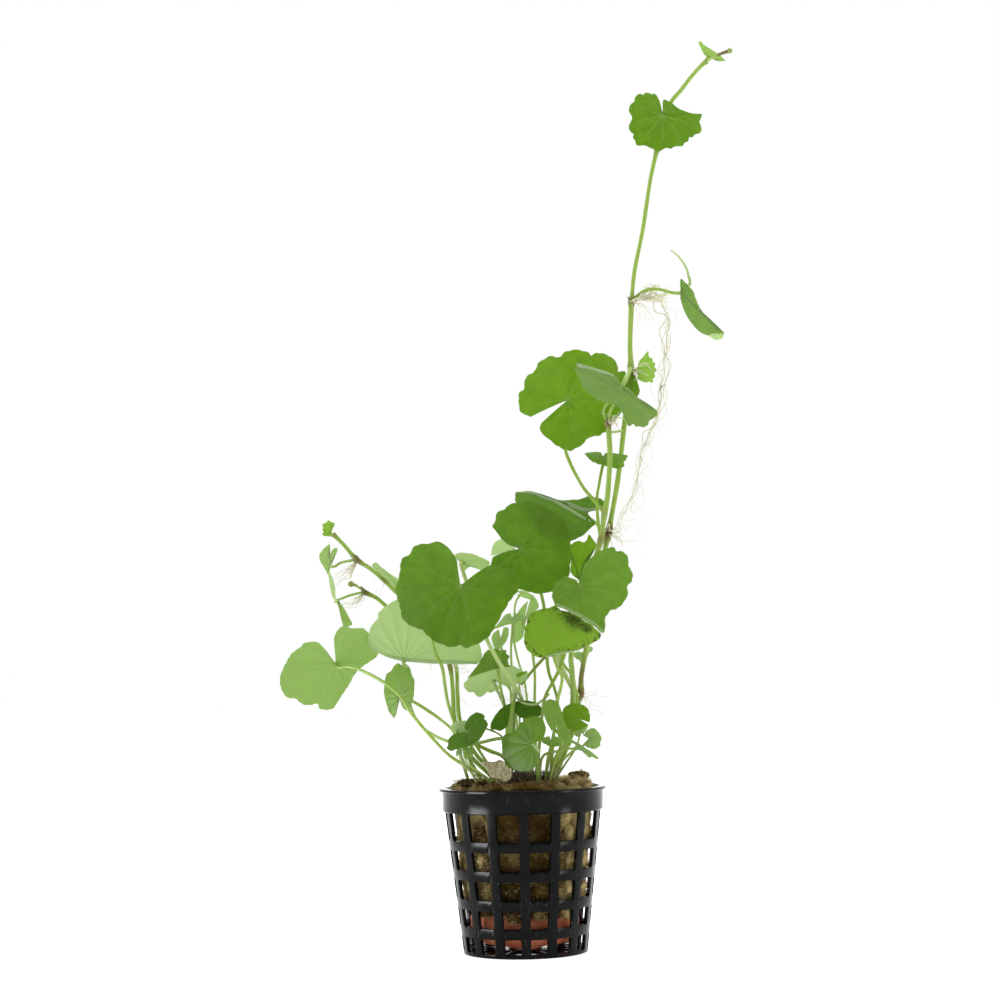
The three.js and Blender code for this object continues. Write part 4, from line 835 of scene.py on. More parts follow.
                 free="330.3,572 333.5,580 335.5,588 335.8,596 338,601.5", tone=(0.4, 0.7)),
        ],
        stalk="340,563,7",
    ),
    "leaf_shoot_slim": dict(
        at=(338.3, 602, 10), radius=4, faces=(40, -6), notch=104, tone=(0.6, 0.6), foot=(364, 592, 12),
        rim=("337,603 339,609 340.5,616 342.5,623.5 344,627.5 348,626.5 352,624.5 349,617.5 345,610 "
             "341.5,604.5 340,602.3"),
        stalk="343,598,11 351,595,12",
    ),
}

bladeSettings = dict(thick=0.26, spacing=0.4, puff=0.018, ripple=0.018, veins=0.3)
curlSettings = dict(rise=0.22, bulge=0.2, thick=0.1, rows=26, columns=6)
stalkSettings = dict(
    radius=0.5, sides=8, step=1.3, lead=2.2, shortLead=0.8, sink=3.5,
    blade=0.72, bladeReach=1.2, foot=0.6, footReach=5, brown=0.75, brownReach=6,
)
upperSide, underSide, stalkSkin = 0, 1, 2
woolTop = 51.6


def inPlane(degrees, out):
    way = np.array((math.cos(math.radians(degrees)), 0.0, math.sin(math.radians(degrees))))
    way = way - out * way.dot(out)
    return way / np.linalg.norm(way)


def bladeAxes(leaf):
    turn, lift = (math.radians(value) for value in leaf["faces"])
    out = np.array((math.sin(turn) * math.cos(lift), -math.cos(turn) * math.cos(lift), math.sin(lift)))
    along = inPlane(leaf["notch"], out)
    return out, along, np.cross(out, along)


# Seen points laid onto a cupped blade: how far along, across and out they lie from its joint
def laidSpots(leaf, spots):
    out, along, across = bladeAxes(leaf)
    joint = seen(leaf["at"])
    laid = []
    for spot in spots.split():
        start, way = seenRay(*(float(value) for value in spot.split(",")))
        rise = 0.0
        for _ in range(4):
            place = start + way * (((joint - start).dot(out) + rise) / way.dot(out)) - joint
            x, y = place.dot(along), place.dot(across)
            rise = leaf.get("cup", 0) * (x * x + y * y) / leaf["radius"]
        laid.append((x, y, rise))
    return np.array(laid)


# The rim as angles from the cleft, shares of the way round and distances from the joint
def rimReach(leaf):
    rim = laidSpots(leaf, leaf["rim"]) * (1, 1, 0)
    area = np.sum(rim[:-1, 0] * rim[1:, 1] - rim[1:, 0] * rim[:-1, 1])
    path = smoothPath(rim if area > 0 else rim[::-1], bladeSettings["spacing"])
    angle = np.unwrap(np.arctan2(path[:, 1], path[:, 0]))
    share = (angle - angle[0]) / (angle[-1] - angle[0])
    size = min(1.0, leaf["radius"] / 12)
    pitch, depth = leaf.get("tooth", (1.1 + 1.3 * size, 0.04 + 0.1 * size))
    turn = np.arange(len(path)) * bladeSettings["spacing"] / pitch
    tooth = np.abs((turn + 0.2 * np.sin(turn * 1.7)) % 1 - 0.5) * 2
    depth = depth * np.clip(np.minimum(share, 1 - share) * 9, 0, 1)
    return angle, share, np.linalg.norm(path, axis=1) - depth * tooth**2


# The blade's middle surface and the directions across it, as grids of spokes by rings
def bladeSheet(leaf, rng):
    out, along, across = bladeAxes(leaf)
    radius = leaf["radius"]
    angle, turnShare, reach = rimReach(leaf)
    rings = max(5, int(radius / 0.95))
    share = (np.arange(1, rings + 1) / rings) ** 0.92
    far = reach[:, None] * share[None, :]
    x = far * np.cos(angle)[:, None]
    y = far * np.sin(angle)[:, None]
    part = far / radius
    wave = leaf.get("wave", 0) * np.sin(5 * angle)[:, None]
    rise = radius * part**2 * (leaf.get("cup", 0) + wave)
    lobeTurn = turnShare[:, None] * leafFinish["lobes"]
    puffed = np.abs(np.sin(math.pi * (lobeTurn - 0.5))) ** 0.8
    rise = rise + radius * bladeSettings["puff"] * puffed * np.sin(math.pi * share)[None, :] ** 0.8
    phases = rng.uniform(0, 2 * math.pi, 3)
    rippled = sum(np.sin(k * angle[:, None] + phase) for k, phase in zip((3, 7, 13), phases)) / 3
    rise = rise + radius * bladeSettings["ripple"] * rippled * (share[None, :] ** 3)
    crumple = leaf.get("crumple", 0)
    if crumple:
        spots = np.stack([x.ravel(), y.ravel(), np.full(x.size, rng.uniform(0, 50))], 1)
        rise = rise + crumple * lumps(spots, 1.6, 5).reshape(x.shape) * share[None, :]
    for fold in leaf.get("folds", []):
        toward = inPlane(fold["toward"], out)
        wayX, wayY = toward.dot(along), toward.dot(across)
        past = x * wayX + y * wayY - fold["start"]
        whole = abs(math.radians(fold["by"]))
        side = math.copysign(1, fold["by"])
        bent = np.clip(past / fold["over"], 0, whole)
        rest = np.maximum(0, past - fold["over"] * whole)
        onward = fold["over"] * np.sin(bent) + rest * np.cos(bent) - side * rise * np.sin(bent)
        lifted = side * (fold["over"] * (1 - np.cos(bent)) + rest * np.sin(bent)) + rise * np.cos(bent)
        folded = past > 0
        x, y, rise = (np.where(folded, x + wayX * (onward - past), x),
                      np.where(folded, y + wayY * (onward - past), y), np.where(folded, lifted, rise))
    joint = seen(leaf["at"])
    sheet = joint + x[..., None] * along + y[..., None] * across + rise[..., None] * out
    wide = np.concatenate([np.broadcast_to(joint, (len(angle), 1, 3)), sheet], axis=1)
    outward = np.gradient(wide, axis=1)[:, 1:]
    around = np.gradient(sheet, axis=0)
    normal = np.cross(outward, around)
    normal /= np.maximum(np.linalg.norm(normal, axis=2, keepdims=True), 1e-9)
    flat = np.stack([far * np.cos(angle)[:, None], far * np.sin(angle)[:, None]], -1)
    place = np.stack([np.broadcast_to(lobeTurn, far.shape), np.broadcast_to(share[None, :], far.shape)], -1)
    return joint, out, sheet, normal, place, flat, share


def addBlade(shell, leaf, rng):
    joint, out, sheet, normal, place, flat, share = bladeSheet(leaf, rng)
    spokes, rings = sheet.shape[:2]
    count = spokes * rings + 1
    grid = np.arange(1, count).reshape(spokes, rings)
    offset = rng.uniform(0, 60, 2)
    spots = np.full(count, 0.25 * leaf.get("spots", 0))
    # Dark spots laid on the blade by seen point: dark patches of the leaf and painted shade from leaves over
    # it
    for stainAndShade in leaf.get("stainsAndShade", "").split():
        at, down, reach, strength = (float(value) for value in stainAndShade.split(","))
        away = np.linalg.norm(flat - laidSpots(leaf, f"{at},{down}")[0, :2], axis=2)
        spots[1:] += strength * np.exp(-(away / reach) ** 2).ravel()
    mark = np.stack([spots, np.full_like(spots, leaf.get("veins", bladeSettings["veins"]))], 1)
    thick = bladeSettings["thick"] * (1 - 0.6 * share**6)[None, :, None]
    quads = np.stack([grid[:-1, :-1], grid[:-1, 1:], grid[1:, 1:], grid[1:, :-1]], -1).reshape(-1, 4)
    fan = np.stack([np.zeros(spokes - 1, int), grid[:-1, 0], grid[1:, 0]], -1)
    common = dict(place=np.vstack([(leafFinish["lobes"] / 2, 0), place.reshape(-1, 2)]),
                  flat=np.vstack([(0, 0), flat.reshape(-1, 2)]) + offset, tone=leaf["tone"], mark=mark)
    middle = out * bladeSettings["thick"] / 2
    upper = np.vstack([joint + middle, (sheet + normal * thick / 2).reshape(-1, 3)])
    lower = np.vstack([joint - middle, (sheet - normal * thick / 2).reshape(-1, 3)])
    edge = np.concatenate([[0], grid[0], grid[1:, -1], grid[-1, -2::-1], [0]])
    a, b = edge[:-1], edge[1:]
    points = np.vstack([upper, lower])
    doubled = {key: np.vstack([value, value]) if isinstance(value, np.ndarray) else value
               for key, value in common.items()}
    start = shell["count"]
    addToShell(shell, points, [quads, fan], upperSide, **doubled)
    wall = np.stack([a, a + count, b + count, b], -1)
    for group in (quads[:, ::-1] + count, fan[:, ::-1] + count, wall):
        shell["faces"].append(group + start)
        shell["slots"].append(np.full(len(group), underSide))


# A thin closed slab on both sides of a grid of points
def addSlab(shell, grid, way, thick, slot=0, tone=(0.5, 0.2), mark=(0.0, 0.0), place=None, flat=None):
    rows, columns = grid.shape[:2]
    count = rows * columns
    middle = grid.reshape(-1, 3)
    index = np.arange(count).reshape(rows, columns)
    quads = np.stack([index[:-1, :-1], index[1:, :-1], index[1:, 1:], index[:-1, 1:]], -1).reshape(-1, 4)
    edge = np.concatenate([index[:-1, 0], index[-1, :-1], index[:0:-1, -1], index[0, ::-1]])
    wall = np.stack([edge[:-1], edge[1:], edge[1:] + count, edge[:-1] + count], -1)
    points = np.vstack([middle + way * thick / 2, middle - way * thick / 2])
    addToShell(shell, points, [quads, quads[:, ::-1] + count, wall], slot, place, flat, tone, mark)


# A rolled margin: a strip of the pale underside that bulges in front of the blade; its paleness is partly the
# underside's colour and partly painted sheen along the fold
def addCurl(shell, leaf, curl):
    settings = curlSettings
    out, along, across = bladeAxes(leaf)
    joint = seen(leaf["at"])
    front = -math.copysign(1, out.dot(joint - seenRay(0, 0)[0]))
    marks = np.linspace(0, 1, settings["rows"])
    sides = [smoothPath(laidSpots(leaf, curl[key]), 0.1) for key in ("edge", "free")]
    edge, free = (side[(marks * (len(side) - 1)).round().astype(int)] for side in sides)
    t = np.linspace(0, 1, settings["columns"])[None, :, None]
    spots = edge[:, None] * (1 - t) + free[:, None] * t
    bulge = settings["bulge"] * np.sin(math.pi * marks)[:, None] ** 0.5 * np.sin(math.pi * t[..., 0])
    rise = spots[..., 2] + front * (settings["rise"] + bulge)
    grid = joint + spots[..., :1] * along + spots[..., 1:2] * across + rise[..., None] * out
    flat = np.vstack([spots[..., :2].reshape(-1, 2)] * 2)
    addSlab(shell, grid, out, settings["thick"], underSide, curl["tone"], (0, 0), (0.25, 0.7), flat)


# Where a stem enters the wool and where it ends in it
def rootSpots(root, sink):
    x, y = root
    return [np.array((x, y, woolTop + 0.3)), np.array((x * 0.98, y * 0.98, woolTop - sink))]


def stalkPath(leaf):
    out = bladeAxes(leaf)[0]
    joint = seen(leaf["at"])
    lead = stalkSettings["lead"] if leaf["stalk"] else stalkSettings["shortLead"]
    points = [joint, joint - out * lead] + seenAll(leaf["stalk"])
    if "root" in leaf:
        points += rootSpots(leaf["root"], stalkSettings["sink"])
    else:
        points.append(seen(leaf["foot"]))
    return smoothPath(points, stalkSettings["step"])


def addStalk(shell, leaf, rng):
    path = stalkPath(leaf)
    along = np.linspace(0, 1, len(path))
    length = np.linalg.norm(np.diff(path, axis=0), axis=1).sum()
    settings = stalkSettings
    slim = min(1.0, 0.5 + leaf["radius"] / 16) * leaf.get("stout", 1)
    radius = settings["radius"] * slim * (1 + 0.05 * np.sin(along * length * 0.35 + rng.uniform(0, 6)))
    atBlade = np.exp(-along * length / settings["bladeReach"])
    atFoot = np.exp(-(1 - along) * length / settings["footReach"])
    radius = radius + (settings["blade"] - settings["radius"]) * slim * atBlade
    radius = radius + (settings["foot"] - settings["radius"]) * slim * atFoot
    browned = np.zeros((len(path), 2))
    if "root" in leaf:
        browned[:, 0] = settings["brown"] * np.exp(-(1 - along) * length / settings["brownReach"])
    tone = (min(1, leaf["tone"][0] + 0.15), leaf["tone"][1] * 0.6)
    addRod(shell, path, radius, settings["sides"], stalkSkin, tone, browned)


def makeLeaf(name, leaf, index):
    rng = np.random.default_rng(100 + index)
    shell = newShell()
    addBlade(shell, leaf, rng)
    for curl in leaf.get("curls", []):
        addCurl(shell, leaf, curl)
    addStalk(shell, leaf, rng)
    slot = next(entry["material_slot"] for entry in frame["record"]["subparts"] if entry["node"] == name)
    materials = [leafUpper, leafUnder, greenStem]
    if slot == "leaf_dead":
        materials = [driedLeaf, driedLeaf, driedLeaf]
    return makePiece(name.replace("_", "-"), shell, materials, [name], 75)


for index, (name, leaf) in enumerate(leafShapes.items()):
    makeLeaf(name, leaf, index)
print("leaves made:", len(leafShapes))


# Runners: the creeping stems that the leaves grow from, by their seen points
runnerShapes = {
    "runner_lower": dict(
        root=(9.5, 5), radius=0.8,
        via=("570,735,6 577,704,5 580.6,693.6,5 581.2,678,5 584.4,658.5,4 592,620,4 600,580,4 605.6,547,3 "
             "608.5,532.5,3"),
    ),
    "runner_middle": dict(
        root=None, radius=0.8,
        via="608.5,532.5,3 612.3,512,3 618.4,475.7,4 623.8,429.5,5 630.6,368,6 630,345,7 631.5,301,8",
    ),
    "runner_upper": dict(
        root=None, radius=0.65,
        via=("631.5,301,8 634.4,272,8 642.7,230,7 650.5,179,5 656.6,151,4 663,122,5 671.4,101.6,4.5 "
             "681.6,89.4,3 691.8,76,1 702,65,0 707,61,0"),
    ),
    "runner_front": dict(
        root=(8.5, 0), radius=0.8,
        via=("566,735,0 572.5,704,-2 572,671,-3 571,657,-3 578,620,-3 588,585,-7 595,560,-9.5 "
             "600.8,539.5,-10 604.6,513,-10 607.5,497,-10 609.1,475.7,-10 610,455.7,-10 609.1,436.5,-10 "
             "608,422,-10"),
    ),
    "runner_left": dict(
        root=(-9, -2), radius=0.65,
        via=("470,755,-3 455,721,-3 452.8,690,0 449.6,665,3 438,640,6 418,612,9 394.7,591,9 385,581,9 "
             "371,569,8 356.8,559.6,8 344,545,7 333,534,6"),
    ),
    "runner_left_lower": dict(
        root=(-6, 1), radius=0.65,
        via=("478,757,0 460,721,1 457.5,693,3 455.5,665,6 444,648,9 418,630,13 386,606,13 376.5,598,13 "
             "364,592,12"),
    ),
}

# Swollen joints of the runners, as seen: how far up they reach and how brown they are
joints = [
    dict(at=(608.5, 532.5, 3), swell=0.55, brown=1.0, reach=2.6),
    dict(at=(630.6, 368, 6), swell=0.35, brown=0.25, reach=2.0),
    dict(at=(631.5, 301, 8), swell=0.4, brown=0.6, reach=1.8),
    dict(at=(656.6, 151, 4), swell=0.3, brown=0.2, reach=1.6),
    dict(at=(707, 61, 0), swell=0.3, brown=0.2, reach=1.5),
    dict(at=(580.6, 693.6, 5), swell=0.4, brown=1.0, reach=2.2),
    dict(at=(608, 422, -10), swell=0.35, brown=1.0, reach=1.8),
    dict(at=(600.8, 539.5, -10), swell=0.3, brown=0.5, reach=2.0),
    dict(at=(604.6, 513, -10), swell=0.25, brown=0.2, reach=2.0),
    dict(at=(452.8, 666, 2), swell=0.35, brown=0.9, reach=2.0),
    dict(at=(356.8, 559.6, 8), swell=0.4, brown=0.9, reach=1.8),
    dict(at=(364, 592, 12), swell=0.4, brown=0.9, reach=1.8),
    dict(at=(582.6, 674, 4.6), swell=0, brown=0.75, reach=4.5),
    dict(at=(333, 534, 6), swell=0.3, brown=0.4, reach=1.4),
    dict(at=(386, 578, 9), swell=0.25, brown=0.7, reach=1.6),
]
stemSettings = dict(sides=10, step=0.9, sink=4.0, linkStep=0.8)


def addRunner(shell, path, radius, rng, tone):
    brown = np.zeros((len(path), 2))
    swell = np.ones(len(path))
    for joint in joints:
        away = np.linalg.norm(path - seen(joint["at"]), axis=1)
        near = np.exp(-(away / joint["reach"]) ** 2)
        swell += joint["swell"] * near
        brown[:, 0] = np.maximum(brown[:, 0], joint["brown"] * near)
    wobble = 1 + 0.04 * np.sin(np.arange(len(path)) * 0.31 + rng.uniform(0, 6))
    addRod(shell, path, radius * swell * wobble, stemSettings["sides"], 0, tone, brown)


# Links and bare stalks that hang on the front runner, by their seen points
frontLinks = [
    dict(radius=0.45, tone=(0.75, 0.2), via="608,422,-10 609.5,415,-11.5 611,409,-12.5 615,403,-13"),
    dict(radius=0.42, tone=(0.75, 0.2), via="608,422,-10 604,415.5,-11 604,409,-12 608,403,-12.6"),
    dict(radius=0.4, tone=(0.6, 0.1), via="606.5,432,-9.5 614,432,-4 620.6,430.8,1 623.8,429.5,5"),
]


# A short papery sheath of three scales round a joint
sheathShape = dict(
    scales=3, length=(1.0, 1.8), width=0.7, tip=0.05, away=0.95, bulge=0.35,
    hollow=0.3, thick=0.1,
)


def addSheath(shell, at, way, rng):
    shape = sheathShape
    way = np.array(way, float) / np.linalg.norm(way)
    side = np.cross(way, (0.2, 1, 0.1))
    side /= np.linalg.norm(side)
    up = np.cross(way, side)
    for turn in rng.uniform(0, 2 * math.pi, shape["scales"]):
        wide = side * math.cos(turn) + up * math.sin(turn)
        edge = np.cross(way, wide)
        middle = seen(at) + wide * shape["away"]
        length = rng.uniform(*shape["length"])
        rows = []
        for share in np.linspace(0, 1, 5):
            half = shape["width"] * (1 - share**2) + shape["tip"]
            spine = middle + way * length * share + wide * (shape["bulge"] * share**1.5)
            rows.append([spine + edge * half * t - wide * shape["hollow"] * t * t for t in (-1, 0, 1)])
        addSlab(shell, np.array(rows), wide, shape["thick"], tone=(0.5, 0.2), mark=(0.7, 0))


for index, (name, runner) in enumerate(runnerShapes.items()):
    rng = np.random.default_rng(300 + index)
    shell = newShell()
    points = seenAll(runner["via"])
    if runner["root"]:
        points = rootSpots(runner["root"], stemSettings["sink"])[::-1] + points
    tone = (0.6, 0.1) if name in ("runner_left", "runner_left_lower") else (0.55, 0.15)
    addRunner(shell, smoothPath(points, stemSettings["step"]), runner["radius"], rng, tone)
    if name == "runner_front":
        for link in frontLinks:
            path = smoothPath(seenAll(link["via"]), stemSettings["linkStep"])
            addRod(shell, path, link["radius"], stalkSettings["sides"], 0, link["tone"])
    for joint in joints:
        spot = seen(joint["at"])
        away = [np.linalg.norm(spot - point) for point in points]
        if joint["brown"] > 0.55 and min(away) < 0.5 and name != "runner_lower":
            nearest = int(np.argmin(away))
            ahead = points[min(nearest + 1, len(points) - 1)] - points[max(nearest - 1, 0)]
            addSheath(shell, joint["at"], ahead, rng)
    makePiece(name.replace("_", "-"), shell, [greenStem], [name])
print("runners made:", len(runnerShapes))


# Bare stalks and runners low in the plant, by their seen points. brown: at their upper end.
bareStalks = [
    dict(radius=0.5, tone=(0.5, 0.1), brown=0.9, via="552,650,4 545,657,4.5 533,670,6 521,684.5,8"),
    dict(radius=0.75, tone=(0.5, 0.9), brown=0.0, via="556,650,2.5 562,668,2.5 570,684,3 578,696,4.2"),
    dict(radius=0.36, tone=(0.6, 0.8), brown=0.2,
         via="519,688,6 516.5,697,-2 524.4,703.3,-7.4 535.5,704.4,-7.8 544,699,-8.2 549,694,-7"),
    dict(radius=0.55, tone=(0.5, 0.1), brown=0.0,
         via="519,688,6 514,699,-8 511.5,715,-10.5 509,731,-13 508,748,-14 514,768,-13"),
    dict(radius=0.6, tone=(0.4, 0.0), brown=0.0,
         via="468,741,-12.5 478,745.5,-12.5 490,751,-12.5 502,756,-13 514,770,-13"),
    dict(radius=0.3, tone=(0.1, 0.0), brown=0.3,
         via="478,726,-10 487,729,-10 498,733.5,-10.5 508,742,-11"),
    dict(radius=0.4, tone=(0.5, 0.3), brown=0.0,
         via="580,702,3 575,716,3 565,742,1 557,765,0 552,781,-2"),
]


def makeBareStalks():
    shell = newShell()
    for stalk in bareStalks:
        path = smoothPath(seenAll(stalk["via"]), stemSettings["step"])
        along = np.linspace(0, 1, len(path))
        brown = np.stack([stalk["brown"] * np.exp(-along * 4), 0 * along], 1)
        radius = stalk["radius"] * (1 + 0.05 * np.sin(along * 17))
        addRod(shell, path, radius, stalkSettings["sides"], 0, stalk["tone"], brown)
    makePiece("bare-stalks", shell, [greenStem], [])


makeBareStalks()


# Buds: a swollen tip on a short stalk, with a few tight scales
budShapes = {
    "bud_tip": dict(radius=0.78, brown=0.9,
                    via="706.5,61.6,-0.5 711,58.6,-2 721,53.7,-2.8 729.6,50.8,-3.6"),
    "bud_shoot": dict(via="361.5,589.5,11.5 356,585.5,10.2 351,584,9", radius=0.9, brown=0.3),
}
for index, (name, bud) in enumerate(budShapes.items()):
    rng = np.random.default_rng(400 + index)
    shell = newShell()
    path = smoothPath(seenAll(bud["via"]), 0.5)
    start, end = path[-6], path[-1]
    along = np.linspace(0, 1, len(path))
    brown = np.stack([bud["brown"] * np.clip(along * 5 - 2, 0, 1), np.zeros(len(path))], 1)
    addRod(shell, path, 0.36 + 0.3 * along**2, 8, 0, (0.9, 0.3), brown)
    way = (end - start) / np.linalg.norm(end - start)
    side = np.cross(way, (0, 1, 0.2))
    side /= np.linalg.norm(side)
    up = np.cross(way, side)
    for scale in range(7):
        turn = scale * 2.4
        wide = side * math.cos(turn) + up * math.sin(turn)
        spots = [
            end - way * bud["radius"] * 0.9,
            end - way * 0.2 + wide * bud["radius"] * 0.62,
            end + way * bud["radius"] * 0.75 + wide * bud["radius"] * 0.3,
            end + way * bud["radius"] * 1.1,
        ]
        curve = smoothPath(spots, 0.25)
        bulge = np.sin(np.linspace(0.12, math.pi - 0.2, len(curve)))
        addRod(shell, curve, bud["radius"] * 0.48 * bulge, 8, 0, (0.8, 0.2), (0.15 * rng.uniform(), 0))
    makePiece(name.replace("_", "-"), shell, [greenStem], [name])


# Roots: thin hairs that wander, each a thin closed rod
def addHair(shell, points, radius, rng, wander, sides=4, step=1.0, tone=(0.5, 0.5), brown=None):
    path = smoothPath(points, step)
    along = np.linspace(0, 1, len(path))
    held = np.sin(math.pi * np.minimum(along * 1.1, 1)) ** 0.5
    for size in (9.0, 3.0):
        for axis in range(3):
            phase = rng.uniform(0, 6.28)
            sway = np.sin(along * len(path) * step * 6.28 / size * rng.uniform(0.7, 1.3) + phase)
            path[:, axis] += wander * (size / 9) * sway * held
    mark = np.zeros((len(path), 2))
    if brown is not None:
        mark[:, 0] = brown(path)
    addRod(shell, path, radius * (1.1 - 0.55 * along), sides, 0, tone, mark)


# A tuft of hairs that spread from one spot. drop: how far they sag. wander: how much they wind.
spraySettings = dict(drop=0.3, wander=0.3)


def spray(shell, at, way, count, length, radius, rng, spread=0.7):
    start = np.array(at, float)
    way = np.array(way, float) / np.linalg.norm(way)
    for _ in range(count):
        reach = length * rng.uniform(0.45, 1.1)
        heading = way + rng.normal(0, spread, 3)
        heading /= np.linalg.norm(heading)
        spots = [start + rng.normal(0, 0.25, 3)]
        for share in (0.3, 0.6, 1.0):
            bend = rng.normal(0, 0.18, 3) * reach
            sag = np.array((0, 0, -spraySettings["drop"] * reach * share**2))
            spots.append(start + heading * reach * share + bend * share + sag)
        addHair(shell, spots, radius * rng.uniform(0.7, 1.2), rng, spraySettings["wander"])


# The roots that hang from the upper joint: their course as seen, and the dark stretch on them
hangingRoots = dict(
    start="634,300,9 640,300,11 655,293,13",
    main=("663,307,14 668,314,14 669,324,14 667,345,14 664,370,14 662,388,13 659,410,12 655,425,11 "
          "648,436,10 641,457,9 637,478,9 631,497,8 625,512,8 618,525,7"),
    dark=[(662.5, 388, 13, 1.1), (645, 445, 10, 0.8)], strands=9, radius=0.09, wander=0.35, sides=5, step=1.2,
)


def makeHangingRoots():
    rng = np.random.default_rng(500)
    shell = newShell()
    course = hangingRoots
    darkSpots = [(seen(spot[:3]), spot[3]) for spot in course["dark"]]

    def brown(path):
        near = [np.exp(-(np.linalg.norm(path - spot, axis=1) / reach) ** 2) for spot, reach in darkSpots]
        return np.clip(np.maximum.reduce(near) * 1.4 - 0.25, 0, 1)

    start, main = seenAll(course["start"]), seenAll(course["main"])
    for strand in range(course["strands"]):
        apart = rng.normal(0, 1.1 if strand else 0.1, (len(main), 3))
        points = start + [spot + away for spot, away in zip(main, apart)]
        first = 0 if strand < 3 else rng.integers(1, 9)
        last = len(points) if strand < 5 else rng.integers(first + 5, len(points) + 1)
        thick = course["radius"] * (1.8 if strand < 2 else rng.uniform(0.6, 1.1))
        tone = (0.5, 0.0 if strand < 3 else 0.3)
        addHair(shell, points[first:last], thick, rng, course["wander"], course["sides"], course["step"],
                tone, brown)
    for spot in main[4:]:
        spray(shell, spot, (rng.uniform(-1, 1), rng.uniform(-1, 1), -0.6), 2, 6, 0.045, rng)
    for spot in main[9:]:
        spray(shell, spot, (0.4, 0, -1), 3, 9, 0.05, rng, 0.35)
    makePiece("hanging-roots", shell, [paleRoot], ["roots_hanging"])


# The tangle at the upper joint: strands that loop round its middle
tuftShape = dict(
    node=(632.5, 301, 7), centre=(656, 292, 9.5), size=(6.0, 4.2, 3.9),
    strands=26, thick=(0.1, 0.24),
)


def makeRootTuft():
    rng = np.random.default_rng(510)
    shell = newShell()
    node, centre = seen(tuftShape["node"]), seen(tuftShape["centre"])
    size = np.array(tuftShape["size"])
    for _ in range(tuftShape["strands"]):
        spots = [node + rng.normal(0, 0.3, 3)]
        turn = rng.uniform(0, 6.28)
        for share in np.linspace(0.25, 1, 5):
            angle = turn + share * 3.2
            loop = np.array((math.cos(angle), rng.uniform(-0.8, 0.8), math.sin(angle)))
            onward = node + (centre - node) * min(1, share * 1.5)
            spots.append(onward + loop * size * rng.uniform(0.45, 1.0) * share)
        addHair(shell, spots, rng.uniform(*tuftShape["thick"]), rng, 0.3, 5, 0.8, (0.5, rng.uniform(0.4, 1)))
    spray(shell, node, (1, 0, -0.5), 10, 7, 0.1, rng, 0.4)
    makePiece("root-tuft", shell, [paleRoot], ["roots_tuft"])


shootRoots = {
    "roots_shoot": dict(at=(356.8, 560.5, 8), ends="350,579,7 339,584,6 333,579,6 346,570,7"),
    "roots_shoot_lower": dict(at=(364, 593, 12), ends="357,603,11 348,607,10 339,606,10 352,598,11"),
}


def makeShootRoots(index, name, roots):
    rng = np.random.default_rng(520 + index)
    shell = newShell()
    at = seen(roots["at"])
    for end in seenAll(roots["ends"]):
        for _ in range(3):
            goal = end + rng.normal(0, 0.7, 3)
            middle = (at + goal) / 2 + rng.normal(0, 0.6, 3) - (0, 0, 0.5)
            addHair(shell, [at, middle, goal], rng.uniform(0.07, 0.16), rng, 0.3, 4, 0.8)
    makePiece(name.replace("_", "-"), shell, [paleRoot], [name])


# Small roots at other joints, which ride with the runner that they grow from
looseRoots = [
    dict(at=(609.5, 533, 2.6), way=(0.8, -0.3, 0.1), count=14, length=7, radius=0.15),
    dict(at=(633, 370, 4), way=(1, -1.1, -0.1), count=9, length=5.5, radius=0.16),
    dict(at=(608.5, 422.5, -10.5), way=(1, -0.1, 0.3), count=22, length=5, radius=0.12),
    dict(at=(454, 666, 2), way=(0.8, 0, -0.6), count=7, length=8, radius=0.07),
    dict(at=(430, 664, 4), way=(-0.2, 0, -1), count=5, length=5, radius=0.06),
    dict(at=(386, 580, 9), way=(-0.5, 0, -0.8), count=5, length=5, radius=0.06),
    dict(at=(581, 694, 5), way=(0.7, 0, -0.5), count=9, length=7, radius=0.08),
    dict(at=(521, 685, 8), way=(0.1, 0, -1), count=6, length=7, radius=0.07),
    dict(at=(511, 701, -9), way=(-0.8, 0, 0.2), count=7, length=7, radius=0.06),
    dict(at=(519, 770, -13), way=(0.5, 0, 1), count=9, length=8, radius=0.07),
    dict(at=(553, 778, -8), way=(0.3, 0, 1), count=12, length=9, radius=0.07),
    dict(at=(466, 768, -12), way=(-0.3, 0, 1), count=8, length=7, radius=0.07),
]


def makeLooseRoots():
    rng = np.random.default_rng(540)
    shell = newShell()
    for tuft in looseRoots:
        spray(shell, seen(tuft["at"]), tuft["way"], tuft["count"], tuft["length"], tuft["radius"], rng)
    makePiece("joint-roots", shell, [paleRoot], [])


wiltedStrand = dict(
    via="688.5,286.5,4.9 690,282,4.4 688,273,4 685.5,267,4 679,257,3.5 671,250,3.5",
    radius=0.42, side=0.2, wander=0.1, tone=(0.5, 0.6),
)


def makeWiltedStrand():
    rng = np.random.default_rng(550)
    shell = newShell()
    shape = wiltedStrand
    spots = seenAll(shape["via"])
    addHair(shell, spots, shape["radius"], rng, shape["wander"], 6, 0.6, shape["tone"])
    beside = [spots[2], spots[2] + (0.6, 0, -2), spots[2] + (0.9, 0.2, -4)]
    addHair(shell, beside, shape["side"], rng, shape["wander"], 5, 0.6, shape["tone"])
    makePiece("wilted-strand", shell, [greenStem], ["strand_wilted"])


makeHangingRoots()
makeRootTuft()
for index, (name, roots) in enumerate(shootRoots.items()):
    makeShootRoots(index, name, roots)
makeLooseRoots()
makeWiltedStrand()
print("roots made")


# The net pot: a wall of ribs and rings, a plain band with a lip, and a base of spokes
potShape = dict(
    height=49.5, flangeRadius=25.5, flangeThick=1.0, bandRadius=24.6, bandHeight=7.0, bodyTopRadius=23.8,
    baseRadius=18.8, wall=1.1, baseThick=1.0, ribs=15, ribWidth=2.9, ringHeight=3.0,
    windowHeights=(4.6, 5.3, 5.7, 5.6, 8.2), slotInner=7.4, slotOuter=16.4, spoke=1.5,
    corner=0.55, edge=0.14,
)


